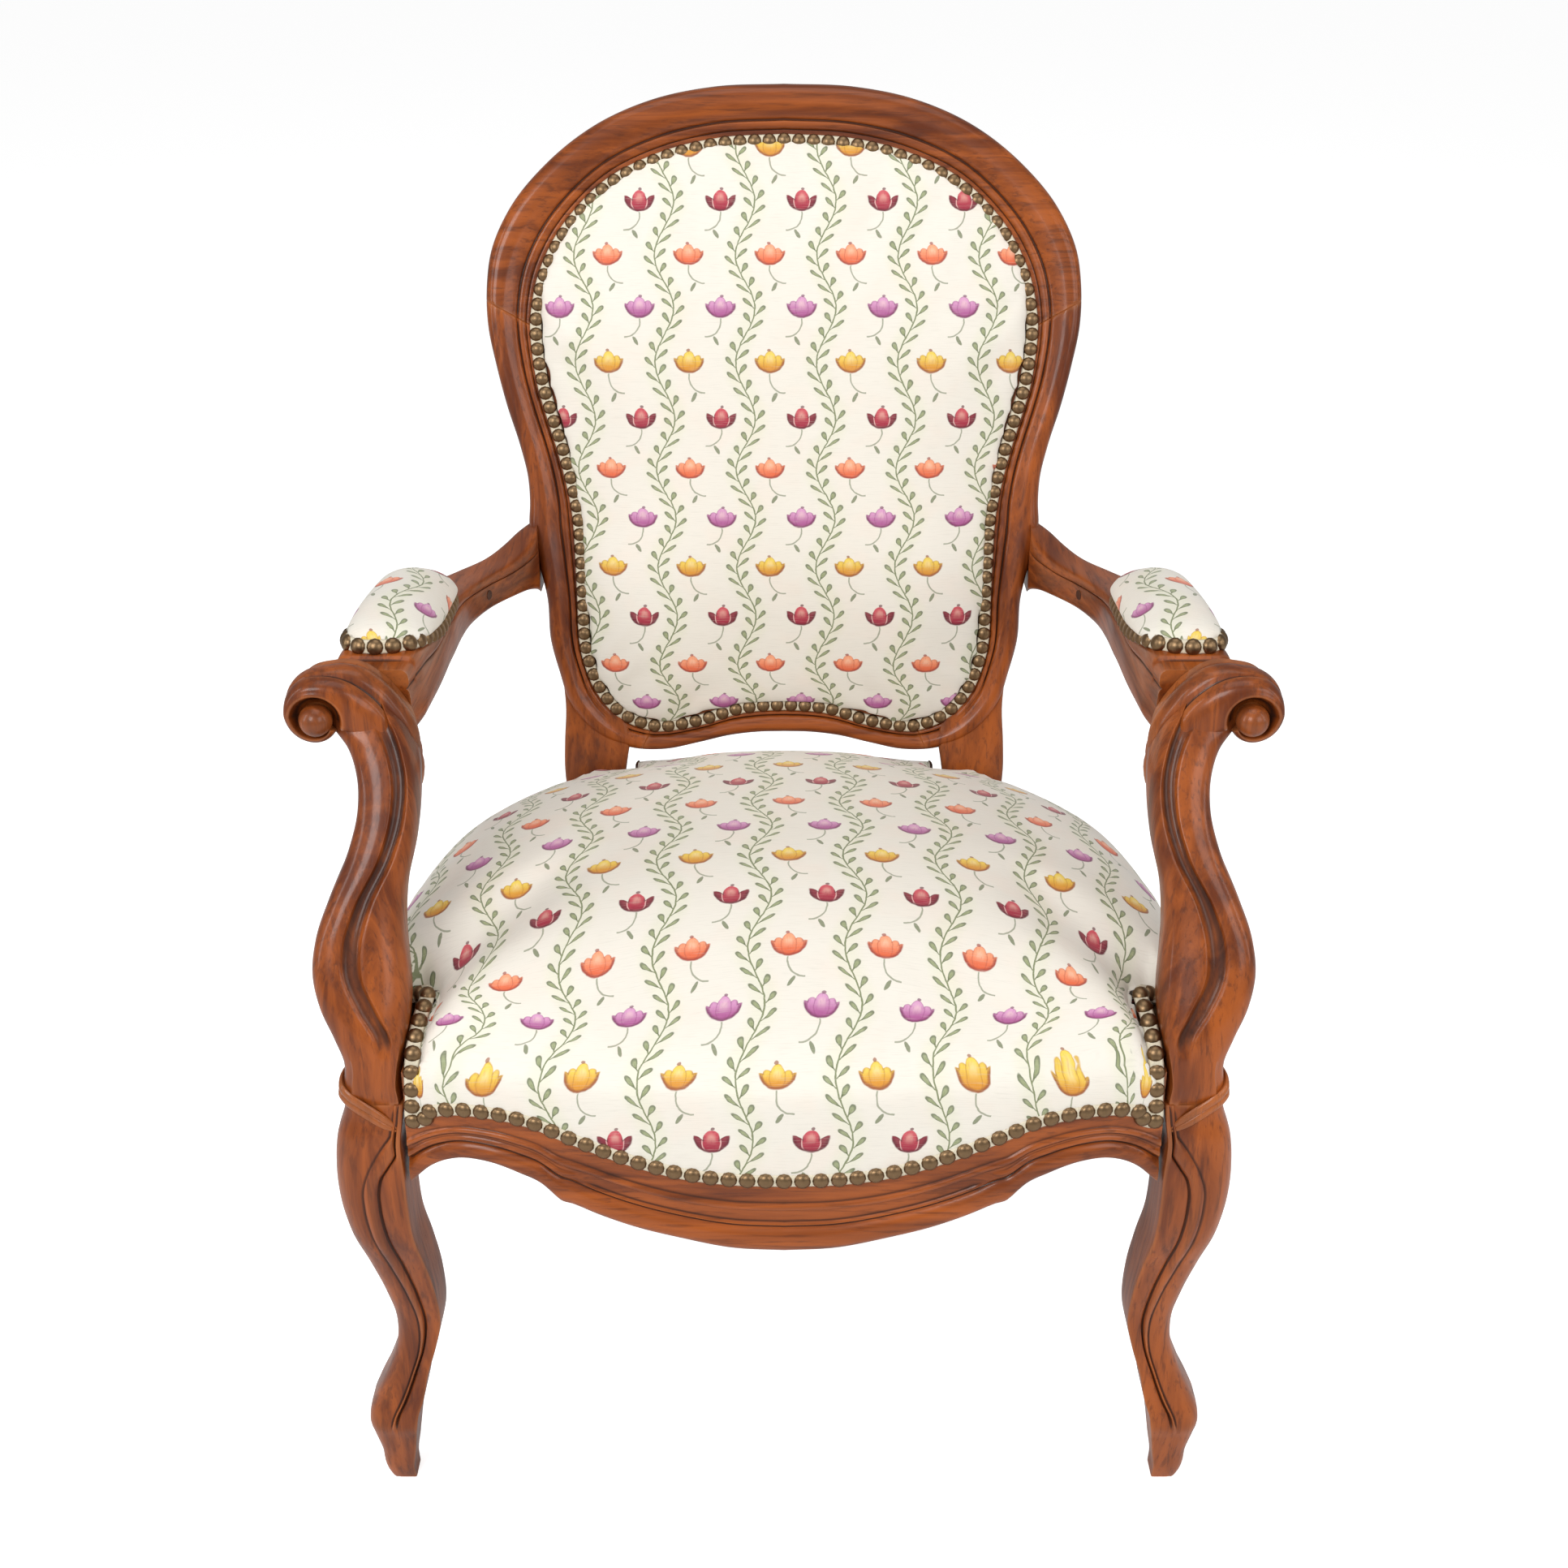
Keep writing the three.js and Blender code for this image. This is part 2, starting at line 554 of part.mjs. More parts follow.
function sideRailRearTenon(extra) {
  const top = railTop(REAR_Y) - TENON_DROP / 2 + extra;
  const outer = -rearX + TENON_SETBACK + RAIL_EDGE - extra;
  const low = point(outer, sideRailRearY - RAIL_EDGE, top - TENON_HEIGHT - 2 * extra);
  const high = point(outer + TENON_THICKNESS + 2 * extra, REAR_Y + TENON_LENGTH + extra, top);
  return block(low, high);
}

function rearRail() {
  const section = railSection(REAR_RAIL_DEPTH, REAR_RAIL_DEPTH * REAR_NAIL_SHARE, RAIL_THICKNESS / 2);
  const rings = [-1, 1].map((share) =>
    section.map(([depth, drop]) => railPoint(rearRailHalf * share, rearRailRearY - depth, drop)));
  const tenon = rearRailTenon(0);
  return loft(rings).add(tenon).add(mirrored(tenon));
}

function rearRailTenon(extra) {
  const top = railTop(REAR_Y) - TENON_DROP / 2 + extra;
  const rear = rearRailRearY - TENON_SETBACK - RAIL_EDGE + extra;
  const low = point(-rearX + REAR_LEG_WIDTH - TENON_LENGTH - extra, rear - TENON_THICKNESS - 2 * extra,
    top - TENON_HEIGHT - 2 * extra);
  const high = point(-rearRailHalf + RAIL_EDGE, rear, top);
  return block(low, high);
}

// Back frame

const recline = THREE.MathUtils.degToRad(BACK_RECLINE);
const backSlope = Math.tan(recline);
const backBase = seatTop - BACK_DROP;
const backBaseY = REAR_Y + BACK_HOLLOW / 2;
const stileJointX = BACK_HALF_WIDTH * STILE_JOINT_SHARE;
const armFrontX = POST_X - ARM_INSET;
const armFrontZ = LEG_HEIGHT + SUPPORT_HEIGHT - ARM_DROP;
const armRearX = BACK_HALF_WIDTH * ARM_REAR_SHARE;
const armRearZ = armFrontZ - ARM_FALL;
const shoulderZ = backBase + BACK_HEIGHT * SHOULDER_SHARE;

// A point at a place on the face of the back and a depth behind it.
function backPoint(x, z, depth) {
  const share = x / BACK_HALF_WIDTH;
  const face = backBaseY + backSlope * (z - backBase) - BACK_HOLLOW * share * share;
  return point(x, face + depth * Math.cos(recline), z - depth * Math.sin(recline));
}

function framePlace(across, up) {
  return point(-BACK_HALF_WIDTH * across, 0, backBase + BACK_HEIGHT * up);
}

const outerEdge = smooth(FRAME_SHARES.map(([across, up]) => framePlace(across, up)), FRAME_SAMPLES);
const nailLine = smooth(FRAME_SHARES.map(([, , across, up]) => framePlace(across, up)), FRAME_SAMPLES);

// Section between an outer point and a nail point, with the wood under the cover beyond.
function frameSection(width, thickness, tack) {
  const front = FRAME_SECTION_SHARES.map(([a, b]) => [width * a, thickness * b]);
  const rebate = front.at(-1)[1];
  const back = FRAME_BACK_SHARES.map(([a, b]) => [width * a, thickness * b]);
  return [...front, [width + tack, rebate], [width + tack, thickness * TACK_BACK_SHARE], ...back];
}

function stileRing(outer, nail) {
  const inward = nail.clone().sub(outer);
  const width = inward.length();
  inward.normalize();
  return frameSection(width, BACK_THICKNESS, TACK_WIDTH).map(([along, depth]) => {
    const place = outer.clone().addScaledVector(inward, along);
    return backPoint(place.x, place.z, depth);
  });
}

function rearLegRing([up, back, out, width, thickness]) {
  const outer = -rearX - REAR_SPLAY_OUT * out;
  const front = REAR_Y + REAR_SPLAY_BACK * back;
  const full = REAR_LEG_WIDTH * width;
  const tack = full * (1 - STILE_FOOT_SHARE);
  const section = frameSection(full - tack, REAR_LEG_THICKNESS * thickness, tack);
  return section.map(([along, depth]) => point(outer + along, front + depth, backBase * up));
}

function backHoop() {
  const stile = outerEdge.map((p, i) => stileRing(p, nailLine[i]));
  const rings = [...REAR_LEG_SHARES.map(rearLegRing), ...stile];
  const right = rings.slice(0, -1).reverse().map((ring) => ring.map((p) => point(-p.x, p.y, p.z)));
  return loft([...rings, ...right]);
}

const hoop = backHoop();

function rearLeg() {
  const leftHalf = block(point(-REACH, -REACH, -REACH), point(0, REACH, shoulderZ - GAP / 2));
  const bedTop = backBase + BACK_HEIGHT / 2;
  const bottomRailBed = block(point(-stileJointX, -REACH, backBase), point(0, REACH, bedTop));
  const armEnd = ARM_HEIGHT * ARM_SHARES[0][4] / 2;
  const armBedTop = armRearZ + armEnd + GAP;
  const armBed = block(point(-REACH, 0, armRearZ - armEnd), point(-armRearX, REACH, armBedTop));
  return hoop.intersect(leftHalf)
    .subtract(bottomRailBed)
    .subtract(armBed)
    .add(armBoss())
    .subtract(crestTenon(GAP))
    .subtract(bottomRailTenon(GAP))
    .subtract(rearRailTenon(GAP))
    .subtract(sideRailRearTenon(GAP))
    .subtract(armRearDowel(GAP));
}

// The flat on the side of the stile that the arm is glued to.
function armBoss() {
  const half = ARM_WIDTH * BOSS_SHARE / 2;
  const rise = ARM_HEIGHT * BOSS_SHARE;
  const low = point(-armRearX, armRearY - half, armRearZ - rise);
  const high = point(-armRearX + BOSS_DEPTH, armRearY + half, armRearZ + rise);
  return block(low, high);
}

function crestRail() {
  const tenon = crestTenon(0);
  return hoop.intersect(above(shoulderZ + GAP / 2)).add(tenon).add(mirrored(tenon));
}

function crestTenon(extra) {
  const middle = backPoint(-BACK_HALF_WIDTH + TENON_HEIGHT, shoulderZ, BACK_THICKNESS / 2);
  const half = point(TENON_THICKNESS + extra, TENON_THICKNESS / 2 + extra, 0);
  const low = middle.clone().sub(half).setZ(shoulderZ - TENON_LENGTH - extra);
  const high = middle.clone().add(half).setZ(shoulderZ + RAIL_EDGE);
  return block(low, high);
}

function bottomRailPlace(share, column) {
  return backBase + BACK_HEIGHT * lookUp(BOTTOM_RAIL_SHARES, Math.abs(share), column);
}

function bottomRail() {
  const half = BOTTOM_RAIL_SHARES.map(([along]) => along);
  const places = [...half.slice(1).reverse().map((share) => -share), ...half];
  const reach = stileJointX - GAP;
  const rings = places.map((share) => {
    const low = bottomRailPlace(share, 1);
    const section = frameSection(bottomRailPlace(share, 2) - low, BOTTOM_RAIL_THICKNESS, TACK_WIDTH);
    return section.map(([up, depth]) => backPoint(reach * share, low + up, depth));
  });
  const tenon = bottomRailTenon(0);
  return loft(rings).add(tenon).add(mirrored(tenon));
}

function bottomRailTenon(extra) {
  const middle = backPoint(-stileJointX, bottomRailPlace(1, 2), BOTTOM_RAIL_THICKNESS / 2);
  const half = point(0, TENON_THICKNESS / 2 + extra, TENON_THICKNESS + extra);
  const low = middle.clone().sub(half).setX(-stileJointX - TENON_LENGTH - extra);
  const high = middle.clone().add(half).setX(-stileJointX + GAP + RAIL_EDGE);
  return block(low, high);
}

// Arms

const armFrontY = -POST_Y + ARM_SETBACK;
const armRearY = backPoint(-armRearX, armRearZ, BACK_THICKNESS / 2).y;

function armStation([forward, sway, rise, width, height, turn]) {
  const x = -mix(armRearX + GAP, armFrontX, forward) - ARM_SWAY * sway;
  const y = mix(armRearY, armFrontY, forward);
  const z = mix(armRearZ, armFrontZ, rise);
  const angle = QUARTER_TURN * turn;
  const across = point(-Math.cos(angle), Math.sin(angle), 0);
  const halfWidth = ARM_WIDTH * width / 2;
  const halfHeight = ARM_HEIGHT * height / 2;
  return { centre: point(x, y, z), across, halfWidth, halfHeight };
}

// A station between two rows of the arm's table.
function armAt(forward) {
  const row = ARM_SHARES[0].map((_, column) => lookUp(ARM_SHARES, forward, column));
  return armStation(row);
}

function arm() {
  const rings = ARM_SHARES.map((row) => {
    const { centre, across, halfWidth, halfHeight } = armStation(row);
    return squareRing(centre, across.multiplyScalar(halfWidth), point(0, 0, halfHeight));
  });
  return loft(rings)
    .subtract(armRearDowel(GAP))
    .subtract(armFrontDowel(GAP))
    .subtract(armPeg(GAP));
}

function armRearDowel(extra) {
  const reach = DOWEL_DEPTH + extra;
  const from = point(-armRearX + reach, armRearY, armRearZ);
  const to = point(-armRearX - reach, armRearY, armRearZ);
  return rod(from, to, DOWEL_RADIUS + extra);
}

function armFrontDowel(extra) {
  const reach = DOWEL_DEPTH + extra;
  const z = armFrontZ + DOWEL_RADIUS;
  const from = point(-armFrontX, armFrontY - reach, z);
  const to = point(-armFrontX, armFrontY + reach, z);
  return rod(from, to, DOWEL_RADIUS + extra);
}

// The plug that shows on the inner side of the arm, over the screw that draws the joint tight.
function armPeg(extra) {
  const { centre, across, halfWidth } = armAt(PEG_SHARE);
  const surface = centre.clone().addScaledVector(across, -halfWidth);
  const inner = surface.clone().addScaledVector(across, PEG_LENGTH + extra);
  const outer = surface.clone().addScaledVector(across, extra ? -PEG_LENGTH : 0);
  return rod(inner, outer, PEG_RADIUS + extra);
}

function armPad() {
  const rings = [];
  for (let i = 0; i <= ARM_PAD_STEPS; i++) {
    const share = i / ARM_PAD_STEPS;
    const forward = mix(ARM_PAD_START_SHARE, ARM_PAD_END_SHARE, share);
    const { centre, across, halfWidth, halfHeight } = armAt(forward);
    const swell = Math.sqrt(Math.max(0, 1 - (2 * share - 1) ** ARM_PAD_POWER));
    const height = ARM_PAD_HEIGHT * mix(ARM_PAD_END_HEIGHT_SHARE, 1, swell);
    const width = halfWidth * mix(ARM_PAD_END_WIDTH_SHARE, 1, swell);
    const foot = centre.clone().add(point(0, 0, halfHeight + GAP));
    rings.push(ARM_PAD_SECTION_SHARES.map(([a, b]) =>
      foot.clone().addScaledVector(across, width * a).add(point(0, 0, height * b))));
  }
  return loft(rings);
}

// Seat upholstery

const notchX = POST_X - NOTCH_WIDTH;
const notchY = -POST_Y + NOTCH_DEPTH;
const seatCentreY = mix(-POST_Y, rearRailRearY, SEAT_CENTRE_SHARE);
const underside = HESSIAN + 2 * GAP;

// Half of the seat's outline from the middle of the front to the middle of the rear.
// Each point keeps the drop of its hem below the rail tops, and how far it is drawn in above.
function seatHalfOutline() {
  const outline = [];
  const add = (x, y, drop, ease) => outline.push({ x: -x, y, hem: railTop(y) - drop + GAP, ease });
  const clear = -underside - NOTCH_HEM;
  const corner = frontRailHalf - RAIL_EDGE;
  for (const [share, , nails] of FRONT_RAIL_SHARES.slice(0, -1)) {
    const x = frontRailHalf * share;
    add(x, frontFaceY(x), FRONT_RAIL_DEPTH * nails, 0);
  }
  const cornerNails = lookUp(FRONT_RAIL_SHARES, corner / frontRailHalf, 2);
  add(corner, frontFaceY(corner), FRONT_RAIL_DEPTH * cornerNails, NOTCH_EASE);
  add(corner, frontFaceY(corner) + HEM_TURN, clear, NOTCH_EASE);
  const [turnAcross, turnBack] = NOTCH_TURN_SHARES;
  add(mix(corner, notchX, turnAcross), mix(-POST_Y, notchY, turnBack), clear, NOTCH_EASE);
  add(notchX, notchY - NOTCH_HEM, 2 * clear, 0);
  add(notchX + NOTCH_HEM, notchY, 2 * clear, 0);
  add(sideFaceX(notchY) - HEM_TURN, notchY, clear, 0);
  add(sideFaceX(notchY), notchY, sideNailDrop(notchY), 0);
  const tongue = rearRailHalf - TACK_WIDTH;
  const legFrontY = REAR_Y - RAIL_EDGE - GAP;
  for (const [share, , nails] of SIDE_RAIL_SHARES) {
    const y = mix(sideRailFrontY, sideRailRearY, share);
    if (y > notchY + RAIL_EDGE && y < legFrontY - RAIL_EDGE) {
      add(sideFaceX(y), y, SIDE_RAIL_DEPTH * nails, 0);
    }
  }
  add(sideFaceX(legFrontY), legFrontY, sideNailDrop(legFrontY), 0);
  add(sideFaceX(legFrontY) - HEM_TURN, legFrontY, clear, 0);
  add(tongue, legFrontY, clear, 0);
  add(tongue, rearRailRearY - HEM_TURN, clear, 0);
  for (let i = REAR_STEPS; i >= 0; i--) {
    add(tongue * i / REAR_STEPS, rearRailRearY, REAR_RAIL_DEPTH * REAR_NAIL_SHARE, 0);
  }
  return outline;
}

function seatOutline() {
  const half = seatHalfOutline();
  const other = half.slice(1, -1).reverse().map((p) => ({ ...p, x: -p.x }));
  return [...half, ...other];
}

function seatEdgeHeight(y) {
  const share = (y + POST_Y) / (rearRailRearY + POST_Y);
  return mix(SEAT_EDGE_FRONT, SEAT_EDGE_REAR, share * share);
}

// Place drawn in from an outline point towards the crown by a distance.
function drawnIn({ x, y }, distance) {
  const inward = point(-x, seatCentreY - y, 0).normalize();
  return point(x + inward.x * distance, y + inward.y * distance, 0);
}

// The outline moved inwards, square to its own edge.
function inset(outline, distance) {
  const count = outline.length;
  return outline.map((p, i) => {
    const before = outline[(i + count - 1) % count];
    const after = outline[(i + 1) % count];
    const inward = point(after.y - before.y, before.x - after.x, 0).normalize();
    return point(p.x + inward.x * distance, p.y + inward.y * distance, 0);
  });
}

// Point of a plain oval in the same direction from the crown, without the notches.
function crownPoint(p) {
  const halfWidth = POST_X - SEAT_ROLL;
  const halfLength = (rearRailRearY + POST_Y) / 2;
  const away = point(p.x, p.y - seatCentreY, 0);
  const reach = Math.hypot(away.x / halfWidth, away.y / halfLength);
  return point(away.x / reach, seatCentreY + away.y / reach, 0);
}

function seatPad() {
  const outline = seatOutline();
  const lining = inset(outline, COVER);
  const rings = [];
  rings.push(lining.map((p) => point(p.x, p.y, railTop(p.y) + underside)));
  rings.push(lining.map((p, i) => point(p.x, p.y, outline[i].hem)));
  for (const [out, up] of SEAT_BORDER_SHARES) {
    rings.push(inset(outline, out * SEAT_BULGE).map((p, i) => {
      const { hem, ease } = outline[i];
      const top = railTop(p.y) + seatEdgeHeight(p.y);
      return drawnIn(p, up ? ease : 0).setZ(mix(hem, top, up));
    }));
  }
  for (const [inwards, up] of SEAT_ROLL_SHARES) {
    rings.push(outline.map((p) => {
      const top = railTop(p.y) + seatEdgeHeight(p.y);
      return drawnIn(p, inwards * SEAT_ROLL + p.ease).setZ(mix(p.hem, top, up));
    }));
  }
  const roll = rings.at(-1);
  for (const share of SEAT_INNER_SHARES) {
    rings.push(roll.map((p) => {
      const round = crownPoint(p);
      const x = mix(round.x, p.x, share) * share;
      const y = mix(seatCentreY, mix(round.y, p.y, share), share);
      const edge = p.z - railTop(p.y);
      const rise = (1 - share * share) ** CROWN_POWER;
      return point(x, y, railTop(y) + mix(edge, SEAT_CROWN, rise));
    }));
  }
  const support = supportBody(GAP);
  return loft(rings).subtract(support).subtract(mirrored(support));
}

function seatHessian() {
  return seatSlab(inset(seatOutline(), COVER + RAIL_EDGE), -GAP, HESSIAN);
}

function rectangle(lowX, highX, lowY, highY) {
  return [point(lowX, lowY, 0), point(highX, lowY, 0), point(highX, highY, 0), point(lowX, highY, 0)];
}

function seatWebbing() {
  const frontY = frontFaceY(0) + LIP_THICKNESS + RAIL_EDGE;
  const rearY = rearRailFrontY + WEB_TACK;
  const drop = WEB_DROP + GAP + WEB_THICKNESS;
  let web = null;
  for (const share of WEB_CROSS_SHARES) {
    const y = mix(frontY, rearY, share);
    const edge = y + WEB_WIDTH / 2;
    const reach = sideFaceX(edge) - RAIL_THICKNESS / 2 * sideStretch(edge) - RAIL_EDGE;
    const outline = rectangle(-reach, reach, y - WEB_WIDTH / 2, y + WEB_WIDTH / 2);
    const strap = seatSlab(outline, drop, WEB_THICKNESS);
    web = web ? web.add(strap) : strap;
  }
  for (const share of WEB_LONG_SHARES) {
    const x = 2 * rearRailHalf * share;
    const front = frontFaceY(Math.abs(x) + WEB_WIDTH / 2) + LIP_THICKNESS + RAIL_EDGE;
    const outline = rectangle(x - WEB_WIDTH / 2, x + WEB_WIDTH / 2, front, rearY);
    web = web.add(seatSlab(outline, drop, WEB_THICKNESS));
  }
  return web;
}

function dustCover() {
  const drop = WEB_DROP + 2 * GAP + WEB_THICKNESS + DUST_COVER;
  const left = [];
  for (let i = 0; i <= SIDE_STEPS; i++) {
    const y = mix(notchY + GLUE_BLOCK, REAR_Y - TACK_WIDTH, i / SIDE_STEPS);
    left.push(point(-sideFaceX(y) + RAIL_THICKNESS / 2 * sideStretch(y) + RAIL_EDGE, y, 0));
  }
  const corner = rearRailHalf - TACK_WIDTH;
  const front = [point(-corner, frontFaceY(corner) + RAIL_THICKNESS + RAIL_EDGE, 0)];
  const rear = [point(-corner, REAR_Y - RAIL_EDGE, 0), point(-corner, rearRailFrontY + WEB_TACK, 0)];
  const half = [...front, ...left, ...rear];
  const outline = [...half, ...half.slice().reverse().map((p) => point(-p.x, p.y, 0))];
  return seatSlab(outline, drop, DUST_COVER);
}

// A coil spring that stands on the webbing and carries the hessian, flat at both ends.
function seatSpring(x, y) {
  const lowDrop = WEB_DROP - SPRING_WIRE / 2;
  const highDrop = SPRING_WIRE / 2;
  const risingTurns = SPRING_TURNS - 2 * SPRING_FLAT_TURNS;
  const steps = SPRING_TURNS * TURN_STEPS;
  const rings = [];
  for (let i = 0; i <= steps; i++) {
    const share = i / steps;
    const angle = 4 * QUARTER_TURN * i / TURN_STEPS;
    const waist = mix(1, SPRING_WAIST_SHARE, Math.sin(2 * QUARTER_TURN * share));
    const out = point(Math.cos(angle), Math.sin(angle), 0);
    const risen = THREE.MathUtils.clamp((share * SPRING_TURNS - SPRING_FLAT_TURNS) / risingTurns, 0, 1);
    const place = point(x, y, 0).addScaledVector(out, SPRING_RADIUS * waist);
    const centre = railPoint(place.x, place.y, mix(lowDrop, highDrop, risen));
    const ring = [];
    for (let side = 0; side < WIRE_SIDES; side++) {
      const turn = 4 * QUARTER_TURN * side / WIRE_SIDES;
      ring.push(centre.clone()
        .addScaledVector(out, SPRING_WIRE / 2 * Math.cos(turn))
        .add(point(0, 0, SPRING_WIRE / 2 * Math.sin(turn))));
    }
    rings.push(ring);
  }
  return loft(rings);
}

// Glue blocks in the corners of the seat frame

function frontGlueBlock() {
  const innerY = (x) => frontFaceY(x) + RAIL_THICKNESS * frontStretch(x) + BLOCK_GAP;
  const startX = -postInnerX + BLOCK_GAP;
  const sideY = innerY(startX) + GLUE_BLOCK;
  const sideX = (y) => -sideFaceX(y) + RAIL_THICKNESS * sideStretch(y) + 2 * BLOCK_GAP;
  const outline = [
    point(startX, innerY(startX), 0),
    point(startX + GLUE_BLOCK / 2, innerY(startX + GLUE_BLOCK / 2), 0),
    point(startX + GLUE_BLOCK, innerY(startX + GLUE_BLOCK), 0),
    point(sideX(sideY), sideY, 0), point(sideX(postRearY + BLOCK_GAP), postRearY + BLOCK_GAP, 0),
    point(startX, postRearY + BLOCK_GAP, 0),
  ];
  return seatSlab(outline, GLUE_BLOCK_DROP, GLUE_BLOCK_HEIGHT);
}

function rearGlueBlock() {
  const innerY = rearRailFrontY - BLOCK_GAP;
  const legX = -rearX + REAR_LEG_WIDTH + BLOCK_GAP;
  const legY = REAR_Y - BLOCK_GAP;
  const sideY = legY - GLUE_BLOCK;
  const sideX = (y) => -sideFaceX(y) + RAIL_THICKNESS * sideStretch(y) + 2 * BLOCK_GAP;
  const outline = [
    point(legX, innerY, 0), point(legX, legY, 0), point(sideX(legY), legY, 0),
    point(sideX(sideY), sideY, 0), point(legX + GLUE_BLOCK / 2, innerY, 0),
  ];
  return seatSlab(outline, GLUE_BLOCK_DROP, GLUE_BLOCK_HEIGHT);
}

// Back upholstery

// The nail line as a closed outline, from the top round the left side and back.
function backOutline(share) {
  const between = outerEdge.map((p, i) => p.clone().lerp(nailLine[i], share));
  const left = between.filter((p) => p.z > cornerZ).reverse();
  const rail = BOTTOM_RAIL_SHARES.slice().reverse().map(([along]) => {
    const low = bottomRailPlace(along, 1);
    return point(-stileJointX * along, 0, mix(low, bottomRailPlace(along, 2), share));
  });
  const half = [...left, ...rail];
  const other = half.slice(1, -1).reverse().map((p) => point(-p.x, 0, p.z));
  return [...half, ...other];
}

const cornerZ = bottomRailPlace(1, 2) + TACK_WIDTH / 2;
const padCentreZ = backBase + BACK_HEIGHT * BACK_PAD_CENTRE_SHARE;

function towardsCentre(p, distance) {
  const inward = point(-p.x, 0, padCentreZ - p.z).normalize();
  return p.clone().addScaledVector(inward, distance);
}

function backPad() {
  const outline = backOutline(1).map((p) => towardsCentre(p, BACK_PAD_INSET));
  const floor = BACK_THICKNESS * FRAME_SECTION_SHARES.at(-1)[1] - 2 * GAP - WEB_THICKNESS;
  const rings = [
    outline.map((p) => backPoint(p.x, p.z, floor)),
    outline.map((p) => backPoint(p.x, p.z, -BACK_EDGE / 2)),
  ];
  for (const [share, crown] of BACK_PAD_SHARES) {
    rings.push(outline.map((p) => {
      const place = p.clone().lerp(point(0, 0, padCentreZ), 1 - share);
      return backPoint(place.x, place.z, -mix(BACK_EDGE, BACK_CROWN, crown));
    }));
  }
  return loft(rings);
}

function outerBack() {
  const outline = backOutline(OUTER_BACK_SHARE);
  const front = BACK_THICKNESS + GAP;
  const rings = [front, front + OUTER_BACK].map((depth) => outline.map((p) => backPoint(p.x, p.z, depth)));
  return loft(rings);
}

function nailReach(z) {
  const next = Math.max(1, nailLine.findIndex((p) => p.z >= z));
  return Math.min(-nailLine[next - 1].x, -nailLine[next].x) - RAIL_EDGE;
}

function backStrap(places, depth) {
  const front = depth - WEB_THICKNESS + WEB_STAGGER;
  const rings = places.map(([a, b]) => [
    backPoint(a.x, a.z, depth), backPoint(b.x, b.z, depth),
    backPoint(b.x, b.z, front), backPoint(a.x, a.z, front),
  ]);
  return loft(rings);
}

function backWebbing() {
  const bed = BACK_THICKNESS * FRAME_SECTION_SHARES.at(-1)[1] - GAP;
  const half = WEB_WIDTH / 2;
  let web = null;
  for (const row of BACK_WEB_ROWS_SHARES) {
    const z = backBase + BACK_HEIGHT * row;
    const reach = Math.min(nailReach(z - half), nailReach(z + half));
    const places = [];
    for (let i = -REAR_STEPS; i <= REAR_STEPS; i++) {
      const x = reach * i / REAR_STEPS;
      places.push([point(x, 0, z - half), point(x, 0, z + half)]);
    }
    const strap = backStrap(places, bed);
    web = web ? web.add(strap) : strap;
  }
  for (const column of BACK_WEB_COLUMNS_SHARES) {
    const x = BACK_HALF_WIDTH * column;
    const low = bottomRailPlace(0, 2) + RAIL_EDGE;
    const high = backBase + BACK_HEIGHT * FRAME_SHARES.at(-3)[3] - RAIL_EDGE;
    const places = [low, high].map((z) => [point(x - half, 0, z), point(x + half, 0, z)]);
    web = web.add(backStrap(places, bed - WEB_STAGGER));
  }
  return web;
}

addPair('front_leg', frontLeg(), walnut);
addPair('rear_leg', rearLeg(), walnut);
addPart('front_rail', frontRail(), walnut);
addPair('side_rail', sideRail(), walnut);
addPart('rear_rail', rearRail(), walnut);
addPart('crest_rail', crestRail(), walnut);
addPart('back_bottom_rail', bottomRail(), walnut);
addPair('arm_support', armSupport(), walnut);
addPair('arm', arm(), walnut);
addPair('support_dowel', supportDowel(0), beech);
addPair('arm_front_dowel', armFrontDowel(0), beech);
addPair('arm_rear_dowel', armRearDowel(0), beech);
addPair('arm_peg', armPeg(0), walnut);
addPair('front_glue_block', frontGlueBlock(), beech);
addPair('rear_glue_block', rearGlueBlock(), beech);
addPart('seat_webbing', seatWebbing(), jute);
addPart('seat_hessian', seatHessian(), jute);
addPart('seat_pad', seatPad(), cover);
addPart('dust_cover', dustCover(), cambric);
SPRING_SHARES.forEach(([across, back], i) => {
  const x = 2 * rearRailHalf * across;
  const y = mix(-POST_Y, rearRailRearY, back);
  addPart('seat_spring_' + (i + 1), seatSpring(x, y), springWire);
});
addPart('back_webbing', backWebbing(), jute);
addPart('back_pad', backPad(), cover);
addPart('outer_back', outerBack(), cover);
addPair('arm_pad', armPad(), cover);

// The origin is on the floor, under the middle of the chair's own box.
const box = new THREE.Box3().setFromObject(chair);
const middle = box.getCenter(point(0, 0, 0));
chair.position.set(-middle.x, -middle.y, -box.min.z);

export default chair;
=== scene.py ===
"""Open-arm upholstered chair with a carved walnut frame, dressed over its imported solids."""

from math import atan2, cos, hypot, pi, radians, sin, tan

import bmesh
import bpy
import numpy as np
from bpy.props import FloatProperty, FloatVectorProperty, PointerProperty
from mathutils import Matrix, Vector
from mathutils.kdtree import KDTree


